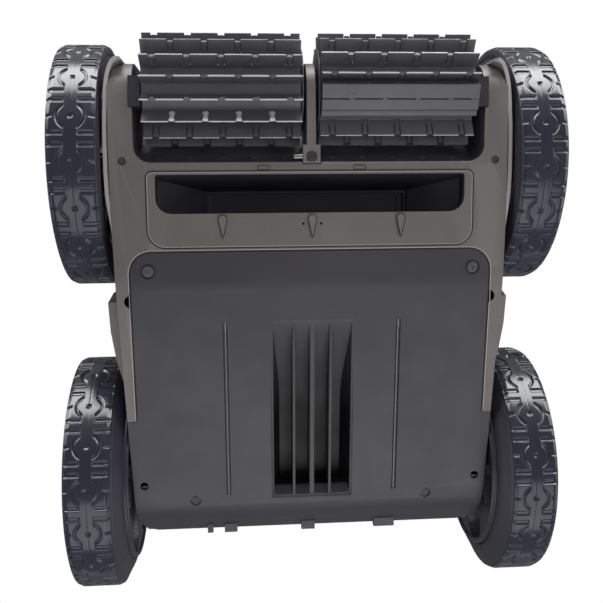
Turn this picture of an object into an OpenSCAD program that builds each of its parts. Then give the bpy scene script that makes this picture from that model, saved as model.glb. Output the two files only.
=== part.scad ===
// Underwater floor-cleaning robot: a moulded body on four large rubber-tyred wheels,
// with a pair of finned brush rollers at the front and a suction mouth behind them.
// +X is the robot's right, -Y is its front (the brush end), +Z is up.
// The wheels stand on z = 0 and the origin is under the middle of the whole robot.

/* [Wheels] */
// Outer diameter of each tyre
wheel_d = 202; // [198:1:204]
// Distance between the front and rear axles
wheelbase = 269; // [267:1:271]
// Distance between the middles of the left and right tyres
track = 362; // [362:1:368]
// Width of each tyre
tyre_w = 38; // [36:1:38]
// Diameter of each wheel axle
axle_d = 12; // [10:1:12]

/* [Body] */
// Full width of the body at its widest
body_w = 312; // [310:1:312]
// Distance from the axles' midpoint to the front of the body
body_front = 212; // [210:1:213]
// Distance from the axles' midpoint to the back of the body
body_back = 188; // [186:1:190]
// Height of the top of the body above the floor
body_top = 232; // [228:1:236]
// Clearance under the body
ground_gap = 19; // [17:1:21]
// Thickness of the moulded walls
wall = 3; // [2.5:0.5:3]
// Height of the joint between the lower frame and the upper shell
split_z = 70; // [69:1:72]

/* [Brush rollers] */
// Distance of the roller axis ahead of the axles' midpoint
roller_ahead = 191.6; // [191:0.1:194]
// Height of the roller axis
roller_z = 48.3; // [47.5:0.1:49]
// Radius to the tips of the brush fins
fin_r = 45; // [44:0.5:46.5]
// Radius of the tube that carries the fins
core_r = 27; // [24:1:28]
// Number of fins around each roller
fin_count = 16; // [12:1:18]

/* [Suction mouth] */
// Width of the suction slot
slot_w = 243; // [200:1:244]
// Length of the suction slot, front to back
slot_l = 30; // [24:1:30]

/* [Gears] */
// Gear module, the pitch diameter divided by the teeth
gear_m = 1.5; // [1.5:0.1:1.5]
// Teeth on each motor pinion
pinion_teeth = 12; // [12:1:12]
// Teeth on each rear axle gear
rear_teeth = 40; // [40:1:40]
// Teeth on each front axle gear
front_teeth = 36; // [36:1:36]
// Teeth on each idler gear
idler_teeth = 28; // [28:1:28]
// Teeth on each roller gear
roller_teeth = 16; // [16:1:16]

/* [Hidden] */

$fn = 48;
cut = 1;                 // how far cutting shapes run past what they cut
fit = 0.4;               // gap between neighbouring mouldings
running = 0.05;          // radial clearance of a shaft in its bore

frame_grey = [0.36, 0.35, 0.34];
hatch_black = [0.19, 0.19, 0.21];
rubber_black = [0.13, 0.13, 0.17];
brush_grey = [0.25, 0.25, 0.28];
steel = [0.75, 0.75, 0.77];
clear_smoke = [0.35, 0.42, 0.48, 0.5];
inner_dark = [0.10, 0.10, 0.12];

wheel_r = wheel_d / 2;
axle_z = wheel_r;
axle_r = axle_d / 2;
half_body = body_w / 2;
nose_r = 16;
roller_y = -roller_ahead;
front_y = -wheelbase / 2;
rear_y = wheelbase / 2;
// The robot's box is centred on the origin, between the fin tips and the rear tyres
y_mid = ((roller_ahead + fin_r) - (rear_y + wheel_r)) / 2;

rim_dome = 12.2;         // how far the rear rims' inner covers stand out

// Gear and belt planes, measured from the middle of the robot
gear_x0 = 139.9;
gear_x1 = 142.8;
block_x = 135;           // middle of each roller bearing block
block_half = 4.4;
belt_x0 = 126;
belt_x1 = 131;
pulley_r = 11;
pulley_lip = 2.6;

// Bay that the rollers turn in
bay_half = 137.2;
bay_r = 51;
bay_back = -134;
bay_corner = 12.5;       // corner radius of the bay's rear edge, in plan
frame_hole_r = 3.2;      // stand holes in the lower frame
bay_wall = 2.4;
bay_roof = roller_z + bay_r;

// Suction panel outline, and the slot in it
panel_half = 128.4;
panel_y0 = -127;
panel_y1 = -68;
slot_y0 = -124.5;

// Bottom hatch
hatch_half = 143.4;
hatch_y0 = -65.2;
hatch_full_y = 74;       // behind this the hatch takes the body's whole width
ramp_half = 32;
ramp_y0 = -8;
ramp_y1 = 143;
ramp_depth = 26;
ramp_run = 66;
groove_x = 70;
groove_half = 1.9;
groove_y1 = 141;
tab_out = 7.5;           // how far the back edge's tabs reach behind y = 174
// Middle and half width of the peg and tabs on the hatch's back edge
BACK_TABS = [[-87, 2.4], [-69.2, 5.5], [-2, 5.8], [65, 9]];
screw_x = 129;
screw_y = -50;

// Arm between the rollers and the foot it stands on
arm_half = 3.6;
foot_half = 6.8;
foot_y0 = -147;
foot_y1 = -132.8;
foot_h = 40;
foot_screw_y = -138;

// Filter canister, the tub it stands in and the pump behind it
basket_half = 92;
basket_y0 = -112;
basket_y1 = 52;
basket_z0 = 82;
tub_gap = 3;
tub_wall = 2.5;
tub_z0 = 76;
pump_y = 125;
duct_r = 35.5;
impeller_r = 33;
block_z0 = 72;
block_z1 = 121;
lid_half = 104;
lid_y0 = -122;
lid_y1 = 62;
hinge_y = 65;
hinge_z = 231.5;
hinge_x = 60;
deck_y = 72;             // joint between the upper shell and the rear deck
latch_y = -136;
latch_half = 22;
flap_y = -92;
flap_z = 87;
handle_y = 164;
handle_z = 238;
gland_x = -100;
gland_y = 115;

motor_angle = 225;
motor_d = (rear_teeth + pinion_teeth) * gear_m / 2;
motor_y = rear_y + motor_d * cos(motor_angle);
motor_z = axle_z + motor_d * sin(motor_angle);
motor_r = 13.5;

// The idler gear touches the front axle gear and the roller gear
front_reach = (front_teeth + idler_teeth) * gear_m / 2;
roller_reach = (idler_teeth + roller_teeth) * gear_m / 2;
train = [roller_y - front_y, roller_z - axle_z];
train_len = norm(train);
train_dir = train / train_len;
train_along = (pow(front_reach, 2) - pow(roller_reach, 2) + pow(train_len, 2)) / (2 * train_len);
train_side = sqrt(pow(front_reach, 2) - pow(train_along, 2));
idler = [front_y, axle_z] + train_along * train_dir + train_side * [train_dir[1], -train_dir[0]];

// Phase of a gear's first tooth, in mesh with a gear whose own phase is `from`
function direction(a, b) = atan2(b[1] - a[1], b[0] - a[0]);
function meshed(theta, from, teeth_a, teeth_b) =
    theta + 180 + 180 / teeth_b - teeth_a / teeth_b * (from - theta);
front_phase = 0;
idler_phase = meshed(direction([front_y, axle_z], idler), front_phase, front_teeth, idler_teeth);
roller_phase = meshed(direction(idler, [roller_y, roller_z]), idler_phase, idler_teeth,
    roller_teeth);
pinion_phase = meshed(motor_angle, front_phase, rear_teeth, pinion_teeth);

// ---- outlines ---------------------------------------------------------------------------

function arc(c, r, a0, a1, n = 6) =
    [for (i = [0:n]) let (a = a0 + (a1 - a0) * i / n) c + r * [cos(a), sin(a)]];
function round_rect(x0, y0, x1, y1, r) = concat(
    arc([x1 - r, y1 - r], r, 0, 90), arc([x0 + r, y1 - r], r, 90, 180),
    arc([x0 + r, y0 + r], r, 180, 270), arc([x1 - r, y0 + r], r, 270, 360));
function mirrored(pts) = concat(pts,
    [for (i = [len(pts) - 1:-1:0]) [-pts[i][0], pts[i][1]]]);

// Half width of the body's plan at y
function half_width(y) = y < -105
    ? half_body - 0.6 * pow((y + 105) / 107, 2)
    : half_body - 7 * pow((y + 105) / 235, 1.2);

// Plan outline of the body, drawn in from the true one by `inset`
module plan(inset = 0, back = body_back, corner = 22) {
    front = -body_front + inset;
    rear = back - inset;
    side = [for (i = [0:16])
        let (y = front + nose_r + (rear - corner - front - nose_r) * i / 16)
        [half_width(y) - inset, y]];
    r = corner - inset;
    nose = arc([half_width(front + nose_r) - inset - nose_r, front + nose_r], nose_r,
        -90, -12, 6);
    tail = arc([half_width(rear - corner) - inset - r, rear - corner], r, 20, 90, 4);
    polygon(mirrored(concat(nose, side, tail)));
}

// Height of the body's underside at y: level, then a slope, then a turn up at the back
slope = 21.5 / 180;
function underside(y) = y < -40 ? ground_gap
    : ground_gap + slope * (y + 40) + (y > 140 ? 20 * pow((y - 140) / 40, 2.2) : 0);
function underside_line(y0, y1, lift = 0, step = 8) = [for (i = [0:ceil((y1 - y0) / step)])
    let (y = min(y1, y0 + i * step)) [y, underside(y) + lift]];

// Half-size of a rounded form: a superellipse from angle a0 to a1
function swell(c, a, b, n, a0, a1, steps) = [for (i = [0:steps])
    let (t = a0 + (a1 - a0) * i / steps, p = 2 / n)
    c + [a * sign(cos(t)) * pow(abs(cos(t)), p), b * sign(sin(t)) * pow(abs(sin(t)), p)]];

// Turns a drawing of [y, z] into a solid that runs along X
module along_x(w) {
    rotate([90, 0, 90]) linear_extrude(w, center = true) children();
}

// Moves a drawing of [y, z] to x0 and makes it x1 - x0 thick, on the side given by `side`
module slab(side, x0, x1) {
    translate([side * (x0 + x1) / 2, 0, 0]) along_x(x1 - x0) children();
}

// Puts a form made about Z onto an axis along +X through [y, z]
module on_axis(x, y, z) {
    translate([x, y, z]) rotate([90, 0, 90]) children();
}

// Shifts the robot so that its box is centred on the origin
module place() {
    translate([0, y_mid, 0]) children();
}

// Upper body form, drawn in by `inset`: side view, front view and plan in one
module envelope(inset = 0) {
    waist = 95;
    middle = (body_back - body_front) / 2;
    reach = (body_back + body_front) / 2 - inset;
    rise = body_top - waist - inset;
    intersection() {
        along_x(2 * body_w) polygon(concat([[middle - reach, split_z - 30]],
            swell([middle, waist], reach, rise, 2.6, 180, 0, 22),
            [[middle + reach - 8, split_z - 4], [middle + reach - 12, split_z - 30]]));
        rotate([90, 0, 0]) linear_extrude(3 * body_w, center = true) polygon(concat(
            [[-half_body + inset, 0]],
            swell([0, waist], half_body - inset, rise, 3, 180, 0, 18),
            [[half_body - inset, 0]]));
        linear_extrude(body_top + 20) plan(inset);
    }
}

// Side view of the roller bay, grown by `wall_t`
module bay_profile(wall_t = 0) {
    c = [roller_y, roller_z];
    polygon(concat(
        [[-body_front - 20, -cut], [bay_back + wall_t, -cut], [bay_back + wall_t, 30],
            [bay_back - 8 + wall_t, 58]],
        arc(c, bay_r + wall_t, 14, 90, 8),
        [[-body_front - 20, bay_roof + wall_t]]));
}

module spur(teeth, phase) {
    pitch = 360 / teeth;
    r = teeth * gear_m / 2;
    tooth = [[-0.27, -1.15], [-0.10, 0.85], [0.10, 0.85], [0.27, -1.15]];
    polygon([for (i = [0:teeth - 1]) for (c = tooth)
        let (a = phase + pitch * (i + c[0])) (r + c[1] * gear_m) * [cos(a), sin(a)]]);
}

// ---- body -------------------------------------------------------------------------------

module frame_profile(lift = 0) {
    tip = [-body_front + 28, ground_gap + 28];
    polygon(concat([[-body_front + lift, split_z + lift]], arc(tip, 28 - lift, 180, 270, 6),
        underside_line(-60, hatch_full_y - lift, lift, 12),
        [[hatch_full_y - lift, split_z + lift]]));
}

module suction_outline(gap = 0) {
    polygon(concat(
        arc([panel_half - 14, panel_y1 - 14], 14 + gap, 0, 90),
        arc([14 - panel_half, panel_y1 - 14], 14 + gap, 90, 180),
        arc([5 - panel_half, panel_y0 + 5], 5 + gap, 180, 270),
        arc([panel_half - 5, panel_y0 + 5], 5 + gap, 270, 360)));
}

module slot_outline(grow = 0) {
    x = slot_w / 2;
    y = slot_y0 + slot_l;
    polygon(concat(
        arc([x - 12, y - 12], 12 + grow, 0, 90),
        arc([12 - x, y - 12], 12 + grow, 90, 180),
        arc([2 - x, slot_y0 + 2], 2 + grow, 180, 270),
        arc([x - 2, slot_y0 + 2], 2 + grow, 270, 360)));
}

// Front edge and sides of the hatch, and the body's own outline behind them
module hatch_outline(gap = 0) {
    intersection() {
        plan(-cut);
        union() {
            polygon(concat(
                [[hatch_half + gap, hatch_full_y + cut]],
                [[-hatch_half - gap, hatch_full_y + cut]],
                arc([17 - hatch_half, hatch_y0 + 17], 17 + gap, 180, 270),
                arc([hatch_half - 17, hatch_y0 + 17], 17 + gap, 270, 360)));
            translate([-body_w, hatch_full_y - gap])
                square([2 * body_w, body_back + 20]);
        }
    }
}

module lower_frame() color(frame_grey) place() difference() {
    union() {
        difference() {
            intersection() {
                along_x(2 * body_w) frame_profile();
                linear_extrude(split_z) plan();
            }
            intersection() {
                along_x(2 * body_w) frame_profile(wall);
                linear_extrude(split_z + cut) plan(wall);
            }
        }
        // housing of the roller bay
        intersection() {
            along_x(2 * (bay_half + bay_wall)) intersection() {
                bay_profile(bay_wall);
                translate([-body_front, ground_gap]) square([100, 120]);
            }
            union() {
                linear_extrude(split_z) plan(wall / 2);
                envelope(wall + fit);
            }
            along_x(2 * body_w) union() {
                frame_profile(wall / 2);
                translate([-body_front, split_z - cut]) square([100, 60]);
            }
        }
        // pins of the idler gears
        for (s = [-1, 1]) on_axis(s * 142 - 3, idler[0], idler[1]) cylinder(r = 3, h = 6);
    }
    intersection() {
        along_x(2 * bay_half) bay_profile();
        translate([0, 0, -cut]) linear_extrude(body_w) polygon(round_rect(-bay_half,
            -body_w, bay_half, bay_back, bay_corner));
    }
    translate([0, 0, ground_gap - 5]) linear_extrude(40) suction_outline(fit);
    translate([0, 0, -cut]) linear_extrude(split_z) hatch_outline(fit);
    for (s = [-1, 1]) {
        translate([s * 146, -135, ground_gap - cut]) cylinder(r = frame_hole_r, h = 12);
        translate([s * hatch_half, -26, 0]) cylinder(r = 5, h = 40);
        bearing_block(s, fit);
    }
    // seat of the brush arm's foot
    translate([-foot_half - fit, foot_y0 - 9, -cut])
        cube([2 * (foot_half + fit), foot_y1 + fit - foot_y0 + 9, ground_gap + foot_h + 2]);
}

module suction_panel() color(frame_grey) place() union() {
    translate([0, 0, ground_gap - 0.6]) linear_extrude(3.6) difference() {
        suction_outline();
        slot_outline();
        for (s = [-1, 1]) translate([s * 7, -86]) circle(r = 1);
    }
    // raised ribs that keep the mouth off the floor
    for (x = [-70, 0, 70]) translate([x, -90, ground_gap - 3.6]) linear_extrude(3.2)
        polygon(concat([[0, 15]], arc([0, 0], 3, 170, 370, 8)));
}

module bottom_hatch() color(hatch_black) place() difference() {
    union() {
        intersection() {
            along_x(2 * body_w) polygon(concat(underside_line(hatch_y0, 180, 0),
                [[180, split_z - fit]], [[176, split_z - fit]],
                [for (i = [22:-1:0]) let (y = hatch_y0 + (176 - hatch_y0) * i / 22)
                    [y, underside(y) + wall]]));
            linear_extrude(split_z) hatch_outline();
            linear_extrude(split_z) plan(0, 181);
        }
        // side walls behind the frame's rails
        intersection() {
            along_x(2 * body_w) polygon(concat(underside_line(hatch_full_y, 180, 0.5),
                [[180, split_z - fit], [hatch_full_y, split_z - fit]]));
            linear_extrude(split_z) difference() {
                plan(0, 181);
                plan(wall, 181);
            }
        }
        // box around the sunken ramp
        along_x(2 * ramp_half + 5) polygon(concat(
            underside_line(ramp_y0, ramp_y1 + 2.5, 1, 10),
            [for (i = [14:-1:0]) let (y = ramp_y0 + (ramp_y1 + 2.5 - ramp_y0) * i / 14)
                [y, ramp(y) + 2.5]]));
        // pegs and tabs along the back edge
        for (t = BACK_TABS) translate([t[0] - t[1], 174, 58]) cube([2 * t[1], tab_out, 6]);
    }
    difference() {
        along_x(2 * ramp_half) polygon(concat(
            [[ramp_y0, 0], [ramp_y1, 0]],
            [for (i = [14:-1:0]) let (y = ramp_y0 + (ramp_y1 - ramp_y0) * i / 14)
                [y, ramp(y)]]));
        for (r = [[-15, 2], [0, 3.6], [15, 2]]) translate([r[0], 0, 0])
            along_x(r[1]) polygon(concat(underside_line(ramp_y0 - 2, ramp_y1 + 2, 0.4, 10),
                [[ramp_y1 + 2, 100], [ramp_y0 - 2, 100]]));
    }
    for (s = [-1, 1]) {
        translate([s * groove_x, 0, 0]) along_x(2 * groove_half) polygon(concat(
            underside_line(-2, groove_y1, 1.2, 20), [[groove_y1, 0], [-2, 0]]));
        translate([s * screw_x, screw_y, -cut]) cylinder(r = 6, h = ground_gap + 1.6 + cut);
        translate([s * screw_x, screw_y, -cut]) cylinder(r = 2.2, h = 40);
        translate([s * 140, 131, 30]) cylinder(r = 3.5, h = 12.5);
        translate([s * 98, 146, 30]) cylinder(r = 4.5, h = 14);
    }
}

// Height of the ceiling of the hatch's sunken ramp at y
function ramp(y) = underside(min(y, 140))
    + ramp_depth * (y > ramp_y0 + ramp_run ? 1 : sin(90 * (y - ramp_y0) / ramp_run));

module underside_screws() color(steel) place() {
    for (s = [-1, 1]) translate([s * screw_x, screw_y, ground_gap - 0.6])
        cross_screw(4.2, 2, 12);
    translate([0, foot_screw_y, ground_gap - 0.8]) cross_screw(3.6, 2, 14);
}

module cross_screw(head_r, shank_r, length) {
    difference() {
        union() {
            cylinder(r = head_r, h = 2);
            cylinder(r = shank_r, h = length);
        }
        for (a = [0, 90]) rotate(a) translate([-head_r * 0.6, -0.4, -cut])
            cube([head_r * 1.2, 0.8, cut + 1.2]);
    }
}

module brush_arm() color(frame_grey) place() difference() {
    union() {
        // foot
        translate([-foot_half, foot_y0, ground_gap - 0.8])
            cube([2 * foot_half, foot_y1 - foot_y0, foot_h]);
        // bar that reaches between the rollers
        slab(1, -arm_half, arm_half) polygon(concat([[foot_y0 + 1, roller_z + 18]],
            arc([roller_y, roller_z + 4], 19, 90, 180, 6),
            arc([-188, ground_gap + 24], 24, 180, 270, 6),
            [[foot_y0 + 1, ground_gap]]));
    }
    on_axis(-20, roller_y, roller_z) cylinder(r = 4 + running, h = 40);
    translate([0, foot_screw_y, -cut]) cylinder(r = 4.2, h = ground_gap + 1.3 + cut);
    translate([0, foot_screw_y, -cut]) cylinder(r = 2.1, h = 40);
}

// Block at the outer end of a roller, let into the wall of the bay
module bearing_block(side, gap = 0) {
    translate([side * block_x - block_half - gap, -199 - gap, ground_gap - 1.4 - gap])
        cube([2 * (block_half + gap), 23 + 2 * gap, 48 + 2 * gap]);
}
module roller_bearing(side) color(inner_dark) place() difference() {
    bearing_block(side);
    on_axis(side * 136 - 20, roller_y, roller_z) cylinder(r = 4 + running, h = 40);
}
module roller_bearing_left() roller_bearing(-1);
module roller_bearing_right() roller_bearing(1);

// Outer edge of the guard in plan, from its nose back to where it meets the frame
ARCH = [[145.5, -213.6], [148.8, -213.9], [151, -213], [153.2, -210.6], [154.9, -206.7],
    [156.3, -202], [157.4, -196.9], [158.2, -190], [158.8, -182], [159.4, -172],
    [159.9, -162], [160.1, -146], [160.2, -128], [159.7, -112], [158.6, -102],
    [157.4, -94], [156.3, -86], [155.4, -78]];

// Curved guard that closes the gap between the frame and the inside of a front wheel
module wheel_arch(side) color(frame_grey) place() difference() {
    translate([0, 0, ground_gap + 3]) linear_extrude(80) difference() {
        polygon([for (p = concat([for (p = ARCH) p], [[150, -70], [140, -90], [140, -200]]))
            [side * p[0], p[1]]]);
        plan(-0.25);
    }
    on_axis(-260, front_y, axle_z) cylinder(r = axle_r + 8, h = 520);
}

module wheel_arch_left() wheel_arch(-1);
module wheel_arch_right() wheel_arch(1);

// Bearing plate that carries one side's axles and motor
module side_plate(side) color(inner_dark) place() difference() {
    slab(side, 133, 137) polygon([[-153, 89], [-112, 78], [75, 78], [92, 57], [122, 56],
        [162, 84], [162, 120], [150, 128], [-140, 128], [-153, 116]]);
    for (y = [front_y, rear_y])
        on_axis(-160, y, axle_z) cylinder(r = axle_r + running, h = 320);
    on_axis(-160, motor_y, motor_z) cylinder(r = 4, h = 320);
}
module side_plate_left() side_plate(-1);
module side_plate_right() side_plate(1);

// Bulge on each side of the body between its two wheels
module side_skirt(side) color(frame_grey) place() intersection() {
    linear_extrude(120) polygon([for (p = [
        [half_width(-30) + 0.25, -31], [half_body + 4, -31], [half_body + 7.4, -24],
        [half_body + 6.6, 0], [half_body + 3, 26], [half_width(50) + 0.9, 50],
        [half_width(68) + 0.4, 68],
        [half_width(40) + 0.25, 40], [half_width(0) + 0.25, 0]]) [side * p[0], p[1]]]);
    along_x(2 * body_w) polygon([[-31, 44], [-24, 36], [60, 46], [68, 52], [68, 70],
        [36, 108], [28, 114], [-24, 114], [-31, 107]]);
}
module side_skirt_left() side_skirt(-1);
module side_skirt_right() side_skirt(1);

module duct_port(grow = 0) {
    translate([-28 - grow, basket_y1, 129 - grow]) cube([56 + 2 * grow, 46, 24 + 2 * grow]);
}

module hinge_lug(x0, x1) {
    on_axis(x0, hinge_y, hinge_z) cylinder(r = 3.4, h = x1 - x0);
}

// The two upper mouldings before they are parted at deck_y
module canopy() difference() {
    union() {
        intersection() {
            difference() {
                envelope();
                envelope(wall);
            }
            translate([-body_w, -body_w, split_z]) cube([2 * body_w, 2 * body_w, body_top]);
        }
        for (x = [-hinge_x - 12, -hinge_x + 6.4, hinge_x - 12, hinge_x + 6.4]) {
            hinge_lug(x, x + 5.6);
            translate([x, hinge_y - 2.4, 225]) cube([5.6, 5.8, hinge_z - 225]);
        }
    }
    along_x(2 * bay_half) bay_profile();
    for (s = [-1, 1]) bearing_block(s, fit);
    translate([0, 0, 120]) linear_extrude(body_top)
        polygon(round_rect(-lid_half, lid_y0, lid_half, lid_y1, 18));
    translate([0, 0, 120]) linear_extrude(body_top) polygon(round_rect(-latch_half,
        latch_y - 6, latch_half, latch_y + 6, 4));
    translate([0, pump_y, 130]) cylinder(r = impeller_r + 1, h = body_top);
    translate([gland_x, gland_y, 150]) cylinder(r = 9.5, h = body_top);
    for (y = [front_y, rear_y]) on_axis(-body_w, y, axle_z)
        cylinder(r = axle_r + 3.6, h = 2 * body_w);
    for (s = [-1, 1]) on_axis(s * hinge_x - 20, hinge_y, hinge_z)
        cylinder(r = 2 + running, h = 40);
}

module upper_shell() color(frame_grey) place() intersection() {
    canopy();
    translate([-body_w, deck_y - 3 * body_w, 0]) cube([2 * body_w, 3 * body_w, body_w]);
}

module rear_deck() color(frame_grey) place() intersection() {
    canopy();
    translate([-body_w, deck_y + fit, 0]) cube([2 * body_w, 3 * body_w, body_w]);
}

module lid() color(clear_smoke) place() difference() {
    union() {
        intersection() {
            difference() {
                envelope();
                envelope(wall);
            }
            translate([0, 0, 120]) linear_extrude(body_top) polygon(round_rect(
                fit - lid_half, lid_y0 + fit, lid_half - fit, lid_y1 - fit, 18 - fit));
        }
        for (s = [-1, 1]) {
            hinge_lug(s * hinge_x - 5.6, s * hinge_x + 5.6);
            translate([s * hinge_x - 5.6, 36, hinge_z - 3.3]) cube([11.2, hinge_y - 36, 6.6]);
        }
    }
    for (s = [-1, 1]) on_axis(s * hinge_x - 20, hinge_y, hinge_z)
        cylinder(r = 2 + running, h = 40);
}

module lid_hinge_pin() color(steel) place()
    for (s = [-1, 1]) on_axis(s * hinge_x - 12.5, hinge_y, hinge_z) cylinder(r = 2, h = 25);

module lid_latch() color(hatch_black) place() intersection() {
    difference() {
        envelope(-1.2);
        envelope(9);
    }
    translate([0, 0, 120]) linear_extrude(body_top) polygon(round_rect(fit - latch_half,
        latch_y - 6 + fit, latch_half - fit, latch_y + 6 - fit, 3.6));
}

module tub_outline(grow) {
    polygon(round_rect(-basket_half - grow, basket_y0 - grow, basket_half + grow,
        basket_y1 + grow, 12 + grow));
}

module canister_tub() color(inner_dark) place() difference() {
    intersection() {
        envelope(wall + fit);
        union() {
            translate([0, 0, tub_z0]) linear_extrude(body_top) tub_outline(tub_gap + tub_wall);
            // flange that seals against the underside of the shell
            difference() {
                translate([0, 0, 150]) linear_extrude(body_top) tub_outline(18);
                envelope(wall + fit + 2);
            }
        }
    }
    translate([0, 0, tub_z0 + tub_wall]) linear_extrude(body_top) tub_outline(tub_gap);
    translate([-84, -110, tub_z0 - cut]) cube([168, 17, 6]);
    duct_port();
}

module intake_duct() color(inner_dark) place() difference() {
    duct_form(0);
    duct_form(2);
}

// Funnel from the suction slot up to the canister; `inset` gives its inside
module duct_form(inset) {
    over = inset > 0 ? cut : 0;
    z0 = ground_gap + wall + fit;
    intersection() {
        rotate([90, 0, 0]) linear_extrude(3 * body_w, center = true) polygon(mirrored([
            [slot_w / 2 + 2.5 - inset, z0 - over], [slot_w / 2 + 2.5 - inset, z0 + 14],
            [88 - inset, tub_z0 - fit - 3], [88 - inset, tub_z0 - fit + over]]));
        along_x(2 * body_w) polygon([[slot_y0 - 2.5 + inset, z0 - over],
            [-114 + inset, tub_z0 - fit + over], [-89 - inset, tub_z0 - fit + over],
            [slot_y0 + slot_l + 2.5 - inset, z0 - over]]);
    }
}

module filter_basket() color(brush_grey) place() difference() {
    intersection() {
        envelope(wall + 6);
        translate([0, 0, basket_z0]) linear_extrude(body_top) tub_outline(0);
    }
    intersection() {
        envelope(wall + 6 - cut);
        translate([0, 0, basket_z0 + 2]) linear_extrude(body_top) tub_outline(-2);
    }
    // inlet in the floor
    translate([-80, -108, basket_z0 - cut]) cube([160, 14, 5]);
    // windows for the mesh
    for (i = [0:2], s = [-1, 1])
        translate([s * basket_half - 5, basket_y0 + 14 + i * 48, basket_z0 + 14])
            cube([10, 40, 84]);
    for (i = [0:3]) translate([-82 + i * 42, basket_y1 - 5, basket_z0 + 14])
        cube([38, 10, 90]);
}

// Cross bar that the basket is lifted out by, and the lugs of the inlet flap
module filter_grip() color(hatch_black) place() {
    difference() {
        intersection() {
            envelope(wall + 4);
            union() {
                translate([-basket_half + 2.2, -38, 196]) cube([2 * basket_half - 4.4, 16, 6]);
                translate([-20, -42, 196]) cube([40, 24, 10]);
            }
        }
        translate([-14, -36, 190]) cube([28, 12, 30]);
    }
    for (s = [-1, 1]) difference() {
        translate([s * 84 - 2, flap_y - 3, basket_z0 + 2.1]) cube([4, 6, 6.5]);
        on_axis(s * 84 - 5, flap_y, flap_z) cylinder(r = 1.5 + running, h = 10);
    }
}

module inlet_flap() color(inner_dark) place() union() {
    translate([-80, flap_y - 17.4, flap_z - 2.4]) cube([160, 17.4, 1.6]);
    translate([-80, flap_y - 3, flap_z - 2.4]) cube([160, 4, 2.4]);
    on_axis(-85.5, flap_y, flap_z) cylinder(r = 1.5, h = 171);
}

module motor_block() color(inner_dark) place() difference() {
    translate([0, 0, block_z0]) linear_extrude(block_z1 - block_z0)
        polygon(round_rect(-66, 66, 66, 170, 12));
    translate([0, 0, block_z0 + 2.5]) linear_extrude(block_z1)
        polygon(round_rect(-63.5, 68.5, 63.5, 167.5, 9.5));
}

module motor_block_cover() color(inner_dark) place() difference() {
    translate([0, 0, block_z1]) linear_extrude(2.4) polygon(round_rect(-66, 66, 66, 170, 12));
    translate([0, pump_y, block_z1 - cut]) cylinder(r = 3 + running, h = 10);
}

module pump_motor() color(steel) place() difference() {
    translate([0, pump_y, block_z0 + 4]) cylinder(r = 24, h = 43);
    translate([0, pump_y, block_z0 + 34]) cylinder(r = 3 + running, h = 20);
}

module control_board() color([0.1, 0.35, 0.2]) place()
    translate([-50, 74, block_z0 + 6]) cube([100, 1.6, 36]);

// One motor for each side's wheels, belt and roller
module traction_motors() color(steel) place() for (s = [-1, 1]) difference() {
    on_axis(s * 105 - 27, motor_y, motor_z) cylinder(r = motor_r, h = 54);
    on_axis(s * 130 - 12, motor_y, motor_z) cylinder(r = 2.5 + running, h = 24);
}

module pump_duct() color(inner_dark) place() difference() {
    intersection() {
        envelope(wall + fit);
        union() {
            translate([0, pump_y, block_z1 + 3]) cylinder(r = duct_r + 3, h = body_top);
            intersection() {
                duct_port(2);
                translate([-body_w, basket_y1 + tub_gap + tub_wall + fit, 0])
                    cube([2 * body_w, 100, body_top]);
            }
        }
    }
    translate([0, pump_y, block_z1 + 6]) cylinder(r = duct_r, h = body_top);
    translate([0, pump_y, block_z1]) cylinder(r = 4, h = 20);
    duct_port();
}

module outlet_grille() color(hatch_black) place() difference() {
    intersection() {
        difference() {
            envelope(0.6);
            envelope(wall);
        }
        translate([0, pump_y, 130]) cylinder(r = impeller_r + 0.6, h = body_top);
    }
    for (i = [-4:4]) let (half = sqrt(pow(impeller_r - 3, 2) - pow(i * 6.4, 2)))
        translate([-half, pump_y + i * 6.4 - 1.8, 130]) cube([2 * half, 3.6, body_top]);
}

module carry_handle() color(hatch_black) place() difference() {
    union() {
        along_x(146) polygon(round_rect(handle_y - 13, handle_z - 10, handle_y + 13,
            handle_z + 10, 8));
        for (s = [-1, 1]) slab(s, 58, 73) polygon([[handle_y - 24, 172],
            [handle_y + 12, 160], [handle_y + 13, handle_z], [handle_y - 13, handle_z]]);
    }
    envelope(-0.1);
}

module cable_gland() color(hatch_black) place() translate([gland_x, gland_y, 0])
    difference() {
        union() {
            translate([0, 0, 194]) cylinder(r = 9.3, h = 27);
            translate([0, 0, 219]) cylinder(r = 14, h = 3);
            translate([0, 0, 222]) cylinder(r = 12, h = 10, $fn = 6);
            translate([0, 0, 232]) cylinder(r = 8.5, h = 6);
        }
        translate([0, 0, 190]) cylinder(r = 4.5, h = 60);
    }

module axle_bushes() color(inner_dark) place() for (s = [-1, 1], y = [front_y, rear_y])
    let (x = half_width(y)) difference() {
        union() {
            on_axis(s * (x - 1.5) - 2.5, y, axle_z) cylinder(r = axle_r + 3.5, h = 5);
            on_axis(s * (x + 1.5) - 0.9, y, axle_z) cylinder(r = axle_r + 6, h = 1.8);
        }
        on_axis(s * x - 10, y, axle_z) cylinder(r = axle_r + running, h = 20);
    }

// Toothed belt from the rear axle's pulley to the front axle's pulley
module drive_belt(side) color(rubber_black) place() slab(side, belt_x0 + 0.4, belt_x1 - 0.4)
    difference() {
        belt_loop(pulley_r + 2.3);
        belt_loop(pulley_r + 0.3);
    }
module belt_loop(r) {
    polygon(concat(arc([rear_y, axle_z], r, -90, 90, 16), arc([front_y, axle_z], r, 90, 270, 16)));
}
module drive_belt_left() drive_belt(-1);
module drive_belt_right() drive_belt(1);

// ---- wheels -----------------------------------------------------------------------------

// A wheel's own frame: Z runs outward from the robot along the axle, 0 at the tyre's middle
module at_wheel(side, y) {
    place() translate([side * track / 2, y, axle_z]) rotate([0, side * 90, 0]) children();
}

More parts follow.
